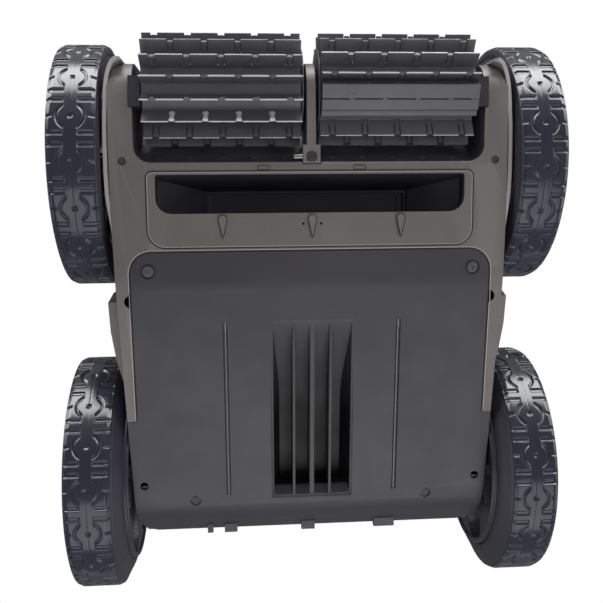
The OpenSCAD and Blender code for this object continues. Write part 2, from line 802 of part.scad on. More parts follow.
// Inner flank of a tyre, from the bead out to the tread: flat, or bulging towards the body
FLAT_FLANK = [[wheel_r - 22, 3], [wheel_r - 19, 0], [wheel_r - 6, 0], [wheel_r - 1.2, 4]];
DOMED_FLANK = [[wheel_r - 22, -7.6], [wheel_r - 19, -7.6], [wheel_r - 14.5, -6],
    [wheel_r - 10, -3.6], [wheel_r - 6, -1.4], [wheel_r - 1.2, 2.6]];

module tyre_form(flank) {
    w = tyre_w / 2;
    rotate_extrude($fn = 96) polygon(concat([for (p = flank) [p[0], p[1] - w]],
        [[wheel_r - 1.2, -5], [wheel_r, -4.4], [wheel_r, 4.4], [wheel_r - 1.2, 5],
            [wheel_r - 1.2, w - 4], [wheel_r - 6, w], [wheel_r - 19, w],
            [wheel_r - 22, w - 3]]));
}

// `dome` is how far the rim's inner cover stands out from the tyre's inner side; 0 for none
module rim_form(dome) {
    w = tyre_w / 2;
    difference() {
        union() {
            rotate_extrude($fn = 96) polygon([[wheel_r - 27, -w + 2.4 - dome],
                [wheel_r - 22.1, -w + 3.4 - dome], [wheel_r - 22.1, w - 3.4],
                [wheel_r - 27, w - 2.4]]);
            translate([0, 0, -4]) cylinder(r = wheel_r - 25, h = 5);
            if (dome > 0) rim_cover(-w + 2.4 - dome);
            translate([0, 0, -w + 1.6]) cylinder(r = 17, h = tyre_w - 9);
        }
        translate([0, 0, -30]) cylinder(r = axle_r + running, h = 60);
        for (i = [0:5]) rotate(60 * i) translate([48, 0, -10]) cylinder(r = 15, h = 20);
    }
}

// Cover over the rim's inner side, with petal windows between its arms
module rim_cover(z) {
    difference() {
        translate([0, 0, z]) cylinder(r = wheel_r - 25, h = 2.4);
        translate([0, 0, z - cut]) cylinder(r = 20, h = 5);
        for (i = [0:5]) rotate(60 * i + 30) translate([0, 0, z - cut]) linear_extrude(5)
            polygon(concat([[42, 0]], arc([58, 0], 17, -125, 125, 12)));
    }
}

module hub_cap_form() {
    w = tyre_w / 2;
    rotate_extrude($fn = 72) polygon([[0, w - 7.2], [30, w - 7.2], [52, w - 6], [66, w - 4],
        [66, w - 1], [56, w + 2], [40, w + 5.2], [20, w + 7.6], [0, w + 8.2]]);
}

// Axle with its belt pulley and gear moulded on
module axle_form(side, y, teeth, phase) color(steel) place() {
    on_axis(side * 158 - 34, y, axle_z) cylinder(r = axle_r, h = 68);
    on_axis(side * (belt_x0 + belt_x1) / 2 - 2.5, y, axle_z) cylinder(r = pulley_r, h = 5);
    for (x = [belt_x0 - 0.5, belt_x1 + 0.5])
        on_axis(side * x - 0.5, y, axle_z) cylinder(r = pulley_r + pulley_lip, h = 1);
    translate([0, y, axle_z]) slab(side, gear_x0, gear_x1) spur(teeth, phase);
}

module tyre_front_left() color(rubber_black) at_wheel(-1, front_y) tyre_form(FLAT_FLANK);
module tyre_front_right() color(rubber_black) at_wheel(1, front_y) tyre_form(FLAT_FLANK);
module tyre_rear_left() color(rubber_black) at_wheel(-1, rear_y) tyre_form(DOMED_FLANK);
module tyre_rear_right() color(rubber_black) at_wheel(1, rear_y) tyre_form(DOMED_FLANK);
module rim_front_left() color(inner_dark) at_wheel(-1, front_y) rim_form(0);
module rim_front_right() color(inner_dark) at_wheel(1, front_y) rim_form(0);
module rim_rear_left() color(inner_dark) at_wheel(-1, rear_y) rim_form(rim_dome);
module rim_rear_right() color(inner_dark) at_wheel(1, rear_y) rim_form(rim_dome);
module hub_cap_front_left() color(frame_grey) at_wheel(-1, front_y) hub_cap_form();
module hub_cap_front_right() color(frame_grey) at_wheel(1, front_y) hub_cap_form();
module hub_cap_rear_left() color(frame_grey) at_wheel(-1, rear_y) hub_cap_form();
module hub_cap_rear_right() color(frame_grey) at_wheel(1, rear_y) hub_cap_form();
module axle_front_left() axle_form(-1, front_y, front_teeth, front_phase);
module axle_front_right() axle_form(1, front_y, front_teeth, front_phase);
module axle_rear_left() axle_form(-1, rear_y, rear_teeth, front_phase);
module axle_rear_right() axle_form(1, rear_y, rear_teeth, front_phase);

module idler_gear(side) color(steel) place() difference() {
    translate([0, idler[0], idler[1]]) slab(side, gear_x0, gear_x1)
        spur(idler_teeth, idler_phase);
    on_axis(-160, idler[0], idler[1]) cylinder(r = 3 + running, h = 320);
}
module idler_gear_left() idler_gear(-1);
module idler_gear_right() idler_gear(1);

module motor_pinion(side) color(steel) place() union() {
    translate([0, motor_y, motor_z]) slab(side, gear_x0, gear_x1)
        spur(pinion_teeth, pinion_phase);
    on_axis(side * 132 - 12, motor_y, motor_z) cylinder(r = 2.5, h = 24);
}
module motor_pinion_left() motor_pinion(-1);
module motor_pinion_right() motor_pinion(1);

// ---- rollers ----------------------------------------------------------------------------

roller_x0 = 9.2;
roller_x1 = 130;

// Tube with stub shafts at both ends and the driven gear on its outer end
module roller_core(side) color(brush_grey) place() union() {
    difference() {
        on_axis(side * (roller_x0 + roller_x1) / 2 - (roller_x1 - roller_x0) / 2, roller_y,
            roller_z) cylinder(r = core_r, h = roller_x1 - roller_x0);
        on_axis(side * 70 - 50, roller_y, roller_z) cylinder(r = core_r - 3, h = 100);
    }
    on_axis(side * 5.4 - 4, roller_y, roller_z) cylinder(r = 4, h = 8);
    on_axis(side * 136.6 - 7.6, roller_y, roller_z) cylinder(r = 4, h = 15.2);
    translate([0, roller_y, roller_z]) slab(side, gear_x0, gear_x1)
        spur(roller_teeth, roller_phase);
}
module roller_core_left() roller_core(-1);
module roller_core_right() roller_core(1);

// Soft sleeve with straight fins
module roller_fins(side) color(brush_grey) place()
    translate([side * (roller_x0 + roller_x1) / 2, roller_y, roller_z]) rotate([90, 0, 90])
    difference() {
        intersection() {
            cylinder(r = fin_r, h = roller_x1 - roller_x0 - 1, center = true);
            union() {
                cylinder(r = core_r + 2.4, h = 200, center = true);
                for (i = [0:fin_count - 1]) rotate(360 / fin_count * i)
                    translate([fin_r / 2 + 10, 0, 0]) cube([fin_r, 2.2, 200], center = true);
            }
        }
        cylinder(r = core_r + 0.02, h = 300, center = true);
    }
module roller_fins_left() roller_fins(-1);
module roller_fins_right() roller_fins(1);

module impeller() color(brush_grey) place() translate([0, pump_y, 0]) union() {
    translate([0, 0, block_z0 + 36]) cylinder(r = 3, h = 72);
    translate([0, 0, 160]) cylinder(r = 9, h = 18);
    intersection() {
        translate([0, 0, 160]) cylinder(r = impeller_r, h = 18);
        for (i = [0:4]) rotate(72 * i) translate([20, 0, 169]) rotate([35, 0, 0])
            cube([30, 2, 40], center = true);
    }
}

lower_frame();
suction_panel();
bottom_hatch();
underside_screws();
brush_arm();
roller_bearing_left();
roller_bearing_right();
wheel_arch_left();
wheel_arch_right();
side_skirt_left();
side_skirt_right();
side_plate_left();
side_plate_right();
upper_shell();
rear_deck();
canister_tub();
intake_duct();
motor_block();
motor_block_cover();
pump_motor();
traction_motors();
control_board();
pump_duct();
outlet_grille();
carry_handle();
cable_gland();
lid_hinge_pin();
axle_bushes();
drive_belt_left();
drive_belt_right();
filter_basket();
filter_grip();
tyre_front_left();
tyre_front_right();
tyre_rear_left();
tyre_rear_right();
rim_front_left();
rim_front_right();
rim_rear_left();
rim_rear_right();
hub_cap_front_left();
hub_cap_front_right();
hub_cap_rear_left();
hub_cap_rear_right();
axle_front_left();
axle_front_right();
axle_rear_left();
axle_rear_right();
roller_core_left();
roller_core_right();
roller_fins_left();
roller_fins_right();
idler_gear_left();
idler_gear_right();
motor_pinion_left();
motor_pinion_right();
impeller();
lid();
lid_latch();
inlet_flap();
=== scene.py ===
"""Looks of the pool-cleaning robot: detailed meshes, finishes, lights and camera round the CAD.
Shapes are worked out in millimetres in the row frame (+X right, -Y front, +Z up)."""
import math

import bmesh
import bpy
import numpy as np
from mathutils import Matrix, Vector
from mathutils.bvhtree import BVHTree

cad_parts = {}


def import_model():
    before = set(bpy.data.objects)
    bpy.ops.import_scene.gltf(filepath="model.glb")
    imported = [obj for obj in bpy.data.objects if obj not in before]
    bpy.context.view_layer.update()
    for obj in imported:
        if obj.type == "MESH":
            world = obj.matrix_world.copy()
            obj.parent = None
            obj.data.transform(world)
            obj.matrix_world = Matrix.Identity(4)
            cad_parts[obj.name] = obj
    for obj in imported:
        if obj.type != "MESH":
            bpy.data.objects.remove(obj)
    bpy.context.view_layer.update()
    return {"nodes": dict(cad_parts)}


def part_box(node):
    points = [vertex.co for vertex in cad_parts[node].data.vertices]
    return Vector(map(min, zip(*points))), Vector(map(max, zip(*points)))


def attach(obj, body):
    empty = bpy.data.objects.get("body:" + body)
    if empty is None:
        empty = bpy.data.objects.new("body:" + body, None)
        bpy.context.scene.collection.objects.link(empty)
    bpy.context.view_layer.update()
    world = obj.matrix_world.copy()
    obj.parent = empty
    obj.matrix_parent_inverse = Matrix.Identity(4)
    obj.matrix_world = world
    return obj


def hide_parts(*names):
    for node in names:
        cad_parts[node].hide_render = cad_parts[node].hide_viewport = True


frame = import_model()
NODES = frame["nodes"]
MM = 0.001
SIDES = {"left": -1, "right": 1}
SHARP = math.radians(32)


# ---- small tools ----


def box_mm(node):
    """Lowest and highest corner of a CAD node, in millimetres."""
    low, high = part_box(node)
    return np.array(low) / MM, np.array(high) / MM


def srgb(red, green, blue):
    """A colour named by its 0-255 display values, as linear light."""
    def linear(value):
        share = value / 255
        return share / 12.92 if share <= 0.04045 else ((share + 0.055) / 1.055) ** 2.4
    return (linear(red), linear(green), linear(blue), 1.0)


def smooth(low, high, value):
    """0 below low, 1 above high and a smooth rise between them."""
    share = np.clip((value - low) / (high - low), 0, 1)
    return share * share * (3 - 2 * share)


def arc(centre, radius, start, end, steps=8):
    """Points on an arc, from angle start to angle end in degrees."""
    angles = np.radians(np.linspace(start, end, steps + 1))
    return [(centre[0] + radius * math.cos(a), centre[1] + radius * math.sin(a)) for a in angles]


def round_rect(x0, y0, x1, y1, radius, steps=6):
    return (arc((x1 - radius, y1 - radius), radius, 0, 90, steps)
            + arc((x0 + radius, y1 - radius), radius, 90, 180, steps)
            + arc((x0 + radius, y0 + radius), radius, 180, 270, steps)
            + arc((x1 - radius, y0 + radius), radius, 270, 360, steps))


def side_faces(bm, rings, wrap=False):
    """Joins each ring of vertices to the next one, and the last to the first with wrap."""
    faces = []
    for i in range(len(rings) if wrap else len(rings) - 1):
        a, b = rings[i], rings[(i + 1) % len(rings)]
        for j in range(len(a)):
            k = (j + 1) % len(a)
            faces.append(bm.faces.new((a[j], a[k], b[k], b[j])))
    return faces


def end_faces(bm, rings):
    """Closes the first and the last ring of vertices."""
    return [bm.faces.new(rings[0][::-1]), bm.faces.new(rings[-1])]


def add_box(bm, low, high):
    """Adds a box between its lowest and highest corner."""
    corners = [(low[0], low[1]), (high[0], low[1]), (high[0], high[1]), (low[0], high[1])]
    rings = [[bm.verts.new((x, y, z)) for x, y in corners] for z in (low[2], high[2])]
    end_faces(bm, rings)
    side_faces(bm, rings)


def add_strip(bm, path, width, z0, z1, closed=False):
    """Adds a band of the given width along a flat path, from z0 to z1, as a groove or bead."""
    points = [Vector(p) for p in path]
    count = len(points)
    left, right = [], []
    for i, point in enumerate(points):
        before = points[i - 1] if i or closed else point
        after = points[(i + 1) % count] if i < count - 1 or closed else point
        along = (after - before).normalized()
        across = Vector((-along.y, along.x)) * width / 2
        left.append(point + across)
        right.append(point - across)
    rows = [[bm.verts.new((p.x, p.y, z)) for p in side] for side in (left, right) for z in (z0, z1)]
    low_left, high_left, low_right, high_right = rows
    spans = count if closed else count - 1
    for i in range(spans):
        j = (i + 1) % count
        bm.faces.new((low_left[j], low_left[i], low_right[i], low_right[j]))
        bm.faces.new((high_left[i], high_left[j], high_right[j], high_right[i]))
        bm.faces.new((low_left[i], low_left[j], high_left[j], high_left[i]))
        bm.faces.new((low_right[j], low_right[i], high_right[i], high_right[j]))
    if not closed:
        bm.faces.new((low_left[0], high_left[0], high_right[0], low_right[0]))
        bm.faces.new((low_left[-1], low_right[-1], high_right[-1], high_left[-1]))


def surface_below(*nodes):
    """Gives a function that finds the height of these nodes' underside at a place in plan."""
    joined = bmesh.new()
    for node in nodes:
        joined.from_mesh(NODES[node].data)
    tree = BVHTree.FromBMesh(joined)
    joined.free()

    def height(x, y):
        hit = tree.ray_cast(Vector((x * MM, y * MM, -1)), Vector((0, 0, 1)))[0]
        return hit.z / MM if hit else None
    return height


LINE_LIFT = 0.1               # how far a line stands proud of the surface
LINE_DEPTH = 0.3
LINE_STEP = 3


def add_line(bm, path, width, height, closed=False):
    """A fine raised line laid along the underside, over a path in plan."""
    corners = [Vector(p) for p in path]
    if closed:
        corners.append(corners[0])
    points = []
    for start, end in zip(corners, corners[1:]):
        steps = max(1, math.ceil((end - start).length / LINE_STEP))
        points += [start.lerp(end, i / steps) for i in range(steps)]
    if not closed:
        points.append(corners[-1])
    count = len(points)
    edges, levels = [], []
    for i, point in enumerate(points):
        before = points[i - 1] if i or closed else point
        after = points[(i + 1) % count] if i < count - 1 or closed else point
        along = (after - before).normalized()
        across = Vector((-along.y, along.x)) * width / 2
        edges.append((point + across, point - across))
        # the nearest surface on either side, as the line may run over an open gap
        around = [height(q.x, q.y) for q in (point, point + across * 3, point - across * 3)]
        levels.append(min((z for z in around if z is not None), default=None))
    level = next(z for z in levels if z is not None)
    rings = []
    for (left, right), found in zip(edges, levels):
        level = level if found is None else found
        rings.append([bm.verts.new((q.x, q.y, z)) for q, z in (
            (left, level - LINE_LIFT), (right, level - LINE_LIFT),
            (right, level + LINE_DEPTH), (left, level + LINE_DEPTH))])
    side_faces(bm, rings, closed)
    if not closed:
        end_faces(bm, rings)


def add_revolved(bm, profile, centre, steps=64, axis="x", sign=1):
    """Adds a ring swept from a profile of (radius, distance along the axis) points."""
    angles = [2 * math.pi * i / steps for i in range(steps)]
    rows = []
    for radius, along in profile:
        row = []
        for a in angles:
            p, q = radius * math.cos(a), radius * math.sin(a)
            shift = (sign * along, p, q) if axis == "x" else (p, q, sign * along)
            row.append(bm.verts.new(Vector(centre) + Vector(shift)))
        rows.append(row)
    side_faces(bm, rows, True)


def tidy(bm):
    """Turns every face outward."""
    bmesh.ops.recalc_face_normals(bm, faces=bm.faces)
    return bm


def form_of(mesh):
    """A mesh as a form that can be edited."""
    bm = bmesh.new()
    bm.from_mesh(mesh)
    return bm


def cad_form(node):
    """A copy of a CAD node's shape in millimetres, joined up and with its flat faces whole."""
    bm = form_of(NODES[node].data)
    bmesh.ops.remove_doubles(bm, verts=bm.verts, dist=1e-6)
    bmesh.ops.scale(bm, vec=(1 / MM,) * 3, verts=bm.verts)
    bmesh.ops.dissolve_limit(bm, angle_limit=math.radians(0.6), verts=bm.verts, edges=bm.edges)
    return bm


def round_edges(bm, width, angle=28, segments=2, keep=None):
    """Rounds every edge sharper than angle, or only those that keep(edge) accepts."""
    limit = math.radians(angle)
    edges = [e for e in bm.edges if len(e.link_faces) == 2 and e.calc_face_angle(0) > limit
             and (keep is None or keep(e))]
    bmesh.ops.bevel(bm, geom=edges, offset=width, offset_type="OFFSET", segments=segments,
                    profile=0.5, affect="EDGES", clamp_overlap=True)


def shade(mesh, limit=SHARP):
    """Smooth shading with a hard line at every edge sharper than limit."""
    bm = form_of(mesh)
    for face in bm.faces:
        face.smooth = True
    for edge in bm.edges:
        edge.smooth = len(edge.link_faces) == 2 and edge.calc_face_angle(0) < limit
    bm.to_mesh(mesh)
    bm.free()


def store(bm, mesh, limit=SHARP):
    """Keeps a form in a mesh with its faces outward and its shading set; bm is used up."""
    tidy(bm).to_mesh(mesh)
    bm.free()
    shade(mesh, limit)


def combine(bm, other, operation):
    """bm and other joined, cut or crossed as solids; both are used up."""
    solids = []
    for part in (bm, other):
        mesh = bpy.data.meshes.new("work")
        tidy(part).to_mesh(mesh)
        part.free()
        solid = bpy.data.objects.new("work", mesh)
        bpy.context.scene.collection.objects.link(solid)
        solids.append(solid)
    modifier = solids[0].modifiers.new("cut", "BOOLEAN")
    modifier.operation = operation
    modifier.object = solids[1]
    modifier.solver = "EXACT"
    modifier.use_self = True
    evaluated = solids[0].evaluated_get(bpy.context.evaluated_depsgraph_get())
    result = form_of(evaluated.to_mesh())
    for solid in solids:
        mesh = solid.data
        bpy.data.objects.remove(solid)
        bpy.data.meshes.remove(mesh)
    bmesh.ops.remove_doubles(result, verts=result.verts, dist=1e-4)
    bmesh.ops.dissolve_degenerate(result, edges=result.edges, dist=1e-4)
    return result


def piece(name, bm, material, body, slot, stands_for=()):
    """Turns a form in millimetres into a shown object that rides on a body."""
    bmesh.ops.scale(bm, vec=(MM,) * 3, verts=bm.verts)
    mesh = bpy.data.meshes.new(name)
    store(bm, mesh)
    shown = show(name, mesh, material, body, slot, stands_for)
    # large faces keep their own direction, so the roundings alone carry the shading
    weighting = shown.modifiers.new("even_shading", "WEIGHTED_NORMAL")
    weighting.keep_sharp = True
    weighting.weight = 100
    return shown


def moulding(node, width, material, slot, body="chassis", angle=35, name=None):
    """Shows a CAD node's own form with its sharp edges rounded."""
    bm = cad_form(node)
    round_edges(bm, width, angle, 2)
    piece(name or node + "_moulding", bm, material, body, slot, [node])


def show(name, mesh, material, body, slot, stands_for=()):
    """Puts a mesh in the scene, on its body and in place of its CAD nodes; slot is not used."""
    shown = bpy.data.objects.new(name, mesh)
    bpy.context.scene.collection.objects.link(shown)
    if not mesh.materials:
        mesh.materials.append(material)
    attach(shown, body)
    if stands_for:
        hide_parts(*stands_for)
    return shown


def grid_mesh(name, points, wrap_rows, wrap_columns):
    """A mesh from a rows x columns x 3 array of points in millimetres."""
    rows, columns = points.shape[:2]
    row = np.arange(rows if wrap_rows else rows - 1)
    column = np.arange(columns if wrap_columns else columns - 1)
    i, j = np.meshgrid(row, column, indexing="ij")
    i, j = i.ravel(), j.ravel()
    down, across = (i + 1) % rows, (j + 1) % columns
    corners = np.stack([i * columns + j, i * columns + across, down * columns + across,
                        down * columns + j], 1)
    mesh = bpy.data.meshes.new(name)
    mesh.from_pydata((points.reshape(-1, 3) * MM).tolist(), [], corners.tolist())
    mesh.validate()
    return mesh


# ---- finishes ----


def add_node(tree, kind, output, inputs=None, **settings):
    """Adds a node and gives one of its outputs; an input is a plain value or another output."""
    node = tree.nodes.new(kind)
    for name, value in settings.items():
        setattr(node, name, value)
    for name, value in (inputs or {}).items():
        if isinstance(value, bpy.types.NodeSocket):
            tree.links.new(value, node.inputs[name])
        else:
            node.inputs[name].default_value = value
    return node.outputs[output]


def map_range(tree, source, start, end, low, high):
    """Runs from low to high while source runs from start to end."""
    return add_node(tree, "ShaderNodeMapRange", "Result", {
        "Value": source, "From Min": start, "From Max": end, "To Min": low, "To Max": high})


class Finish:
    """Builds a node material around one Principled shader."""

    def __init__(self, name, colour, roughness, metallic=0.0, specular=0.5):
        self.material = bpy.data.materials.new(name)
        self.material.use_nodes = True
        self.tree = self.material.node_tree
        self.shader = self.tree.nodes["Principled BSDF"]
        self.preset("Base Color", colour)
        self.preset("Roughness", roughness)
        self.preset("Metallic", metallic)
        self.preset("Specular IOR Level", specular)
        self.place = add_node(self.tree, "ShaderNodeTexCoord", "Object")
        self.painted = colour
        self.bumped = None

    def preset(self, socket, value):
        self.shader.inputs[socket].default_value = value

    def drive(self, socket, source):
        self.tree.links.new(source, self.shader.inputs[socket])
        return self

    def noise(self, scale, detail=4.0, stretch=None):
        source = self.place
        if stretch:
            source = add_node(self.tree, "ShaderNodeMapping", "Vector",
                              {"Scale": stretch, "Vector": source})
        return add_node(self.tree, "ShaderNodeTexNoise", "Fac",
                        {"Scale": scale, "Detail": detail, "Vector": source})

    def span(self, source, low, high, start=0.3, end=0.7):
        return map_range(self.tree, source, start, end, low, high)

    def blend(self, factor, other):
        """Mixes the colour so far with other by factor."""
        self.painted = add_node(self.tree, "ShaderNodeMix", "Result",
                                {"Factor": factor, "A": self.painted, "B": other},
                                data_type="RGBA")
        return self.drive("Base Color", self.painted)

    def mottled(self, scale, other, strength=1.0):
        return self.blend(self.span(self.noise(scale), 0.0, strength), other)

    def worn(self, other, start=0.52, end=0.62, strength=0.6):
        """Edges and corners rubbed towards another colour."""
        pointed = add_node(self.tree, "ShaderNodeNewGeometry", "Pointiness")
        return self.blend(self.span(pointed, 0.0, strength, start, end), other)

    def rough(self, scale, low, high, stretch=None):
        return self.drive("Roughness", self.span(self.noise(scale, 5.0, stretch), low, high))

    def bump(self, source, strength, distance):
        inputs = {"Strength": strength, "Distance": distance, "Height": source}
        if self.bumped is not None:
            inputs["Normal"] = self.bumped
        self.bumped = add_node(self.tree, "ShaderNodeBump", "Normal", inputs)
        return self.drive("Normal", self.bumped)


def moulded(name, colour, paler, low, high, grain=2600, relief=0.00012, specular=0.5,
            metallic=0.0):
    """Injection-moulded plastic: fine spark grain, faint flow marks and rubbed edges."""
    colour, paler = srgb(*colour), srgb(*paler)
    finish = Finish(name, colour, (low + high) / 2, metallic, specular)
    finish.mottled(9, paler, 0.35).mottled(900, paler, 0.25).worn(paler)
    finish.rough(45, low, high)
    finish.bump(finish.noise(grain, 3.0), 0.35, relief)
    finish.bump(finish.noise(38, 2.0), 0.12, 0.0006)
    return finish.material


def ramp_plastic_painted_shade(light, dark, start, end):
    """The hatch's plastic with painted shade: ever darker along Y from start to end, where the ramp
    goes deeper and its floor lies in shadow.
    """
    finish = Finish("ramp_painted_shade", light, 0.45)
    along_y = add_node(finish.tree, "ShaderNodeSeparateXYZ", "Y", {"Vector": finish.place})
    finish.mottled(9, srgb(70, 68, 74), 0.3)
    # painted shade: darker along Y towards the deep rear of the ramp
    finish.blend(finish.span(along_y, 0.0, 1.0, start, end), dark)
    finish.rough(45, 0.42, 0.55)
    finish.bump(finish.noise(2600, 3.0), 0.35, 0.00012)
    return finish.material


def rubber(name, colour, paler, low, high, relief=1.0):
    """Moulded rubber: a skin with faint ripples, paler mottling and scuffed edges."""
    colour, paler = srgb(*colour), srgb(*paler)
    finish = Finish(name, colour, (low + high) / 2, 0.0, 0.5)
    finish.mottled(14, paler, 0.5).mottled(420, paler, 0.2).worn(paler, 0.53, 0.64, 0.5)
    finish.rough(60, low, high)
    finish.bump(finish.noise(1500, 4.0), 0.25 * relief, 0.0001)
    finish.bump(finish.noise(85, 2.0), 0.15 * relief, 0.0005)
    return finish.material


def brushed(name, colour, paler, low, high, stretch=(1, 60, 60)):
    """Turned or rolled metal with fine lines."""
    colour, paler = srgb(*colour), srgb(*paler)
    finish = Finish(name, colour, (low + high) / 2, 1.0, 0.5)
    finish.mottled(60, paler, 0.6)
    finish.rough(30, low, high, stretch)
    finish.bump(finish.noise(40, 6.0, stretch), 0.25, 0.00008)
    return finish.material


FRAME_GREY = moulded("satin_warm_grey", (86, 82, 80), (115, 111, 108), 0.36, 0.50,
                     3000, 0.00010, 0.5, 0.1)
HATCH_BLACK = moulded("satin_charcoal", (43, 41, 47), (64, 62, 68), 0.36, 0.46)
TRIM_BLACK = moulded("moulded_black", (38, 37, 42), (62, 61, 66), 0.38, 0.55)
INNER_BLACK = moulded("inner_black", (32, 31, 41), (48, 47, 57), 0.45, 0.65)
# painted shade: black for the thin lines that stand in for the shadow in gaps and grooves
PAINTED_SHADE_BLACK = moulded("painted_shade_black", (14, 13, 18), (26, 25, 30), 0.55, 0.75)
RIM_BLACK = moulded("rim_black", (36, 34, 44), (60, 58, 68), 0.30, 0.44)
COVER_PALE = moulded("window_grey", (92, 92, 100), (120, 120, 128), 0.30, 0.44)
# a darker grey for the frame's faces inside the brush bay
BAY_INSIDE_DARKER = moulded("bay_inside_darker", (62, 60, 68), (74, 72, 80), 0.50, 0.65)
# painted highlight: pale for the lines and lips that stand in for light caught on edges
PAINTED_HIGHLIGHT_PALE = moulded("painted_edge_highlight", (138, 135, 133), (160, 157, 154), 0.35, 0.50)
GUARD_GREY = moulded("guard_grey", (122, 119, 117), (146, 143, 140), 0.36, 0.50)
HOLE_GREY = moulded("hole_floor", (52, 50, 52), (66, 64, 66), 0.50, 0.65)
TYRE_RUBBER = rubber("tyre_rubber", (40, 42, 54), (48, 50, 62), 0.13, 0.22, 0.4)
FLANK_RUBBER = rubber("tyre_flank", (38, 37, 48), (50, 49, 60), 0.42, 0.58)
FIN_RUBBER = rubber("fin_rubber", (70, 68, 76), (88, 87, 90), 0.30, 0.46)
# pale fin tips, partly worn rubber and partly a painted highlight; also the painted highlight on one
# row of posts
FIN_TIP_PALE_AND_HIGHLIGHT = rubber("fin_tip_pale_and_painted_highlight", (176, 175, 178), (196, 195, 198), 0.22, 0.32)
CORE_GREY = moulded("core_grey", (58, 57, 61), (80, 79, 82), 0.40, 0.55)
STEEL = brushed("turned_steel", (168, 168, 170), (205, 205, 208), 0.22, 0.40)
DARK_STEEL = brushed("screw_steel", (120, 119, 120), (180, 180, 182), 0.25, 0.42)
GEAR_PLASTIC = moulded("gear_plastic", (205, 203, 192), (230, 228, 220), 0.35, 0.5)
BOARD_GREEN = moulded("board_green", (24, 74, 44), (46, 104, 66), 0.30, 0.45)
BASKET_GREY = moulded("basket_grey", (36, 35, 43), (54, 53, 61), 0.45, 0.6)
BELT_RUBBER = rubber("belt_rubber", (28, 28, 32), (44, 44, 48), 0.45, 0.6)


def smoked_glass():
    """The lid's tinted clear plastic."""
    finish = Finish("smoked_lid", srgb(96, 108, 118), 0.08, 0.0, 0.5)
    finish.preset("Transmission Weight", 0.85)
    finish.preset("IOR", 1.46)
    finish.mottled(12, srgb(84, 96, 106), 0.5)
    finish.rough(50, 0.05, 0.14)
    finish.bump(finish.noise(30, 2.0), 0.02, 0.0001)
    return finish.material


SMOKED = smoked_glass()


# ---- tyres ----

DISCS = 18                    # tread discs round each tyre
RIB_HALF = 4.6                # half width of the rib that links the discs
DISC_R = 9.2
GROOVE_W = 2.0
GROOVE_DEPTH = 1.7
LAND_DROP = 0.45              # the land between the grooves lies this far below the rib
SLOT_FROM_MIDDLE = 4.45       # each of the two slots, from the middle between two discs
SLOT_HALF = 1.1
SLOT_SLOPE = 1.25
SLOT_END = 15.6
SHOULDER = 18.0
TREAD_SHARP = math.radians(75)
# Distances from a disc's middle, round the tyre and across it, at which the tread is sampled
ROUND_STEPS = [0, 1.0, 1.9, 2.8, 3.8, 4.8, 5.8, 6.7, 7.5, 8.2, 8.8, 9.3, 9.8, 10.4, 10.8, 11.1,
               11.4, 11.8, 12.4, 13.2, 14.0, 14.5, 14.8, 15.1, 15.4, 15.8, 16.5, 17.2]
ACROSS_STEPS = [0, 0.3, 0.6, 1.0, 2.0, 3.2, 4.1, 4.45, 4.7, 4.95, 5.3, 6.0, 6.8, 7.6, 8.3, 8.9, 9.3,
                9.7, 10.2, 10.8, 11.4, 12.0, 12.8, 13.4, 13.9, 14.6, 15.4, 16.1, 16.7, 17.2, 17.6,
                SHOULDER]
# Sidewall from the tread to the bead: depth below the tread, and height over the tyre's side
FLAT_WALL = [(3.4, -0.5), (4.6, -0.15), (6.2, 0), (8.6, 0), (9.0, -0.7), (9.8, -0.8), (10.3, -0.1),
             (13.4, 0), (14.0, -0.9), (16.6, -1.1), (17.2, -0.3), (19.6, -0.4), (21.2, -1.4),
             (22.0, -3.2)]
DOMED_WALL = [(2.9, -1.3), (4.4, 0.2), (6.2, 1.1), (8.0, 2.0), (9.9, 3.0), (13.4, 4.9), (16.4, 6.3),
              (19.6, 7.2), (21.2, 7.4), (22.0, 5.4)]


def tread_depth(along, across, pitch):
    """How far the tread lies below its highest line: along is 0 at a disc, in millimetres."""
    width = np.abs(across)
    from_disc = np.minimum(along, pitch - along)
    reach = np.hypot(from_disc, across)
    raised = np.maximum(1 - smooth(RIB_HALF - 0.25, RIB_HALF + 0.35, width),
                        1 - smooth(DISC_R - 0.3, DISC_R + 0.3, reach))
    depth = LAND_DROP * (1 - raised)
    ring = smooth(DISC_R - 0.1, DISC_R + 0.5, reach) * (
        1 - smooth(DISC_R + GROOVE_W - 0.7, DISC_R + GROOVE_W + 0.5, reach))
    ring = ring * smooth(RIB_HALF - 0.1, RIB_HALF + 0.5, width)
    # each slot is a capsule that starts at the rib
    beyond = np.maximum(0, width - SLOT_END)
    off_slot = np.hypot(np.abs(along - pitch / 2) - SLOT_FROM_MIDDLE, beyond)
    slot = (1 - smooth(SLOT_HALF, SLOT_HALF + SLOT_SLOPE, off_slot)) * smooth(
        RIB_HALF + 0.2, RIB_HALF + 0.9, width)
    nick = (1 - smooth(0.3, 1.2, from_disc)) * smooth(12.8, 13.6, width)
    hole = 1 - smooth(1.3, 1.9, reach)
    seam = (1 - smooth(0.2, 0.55, width)) * smooth(2.2, 2.8, reach)
    depth = depth + (GROOVE_DEPTH - depth) * np.maximum(ring, slot)
    depth = np.maximum(depth, LAND_DROP + 1.0 * nick)
    return depth + 1.4 * hole + 0.08 * seam


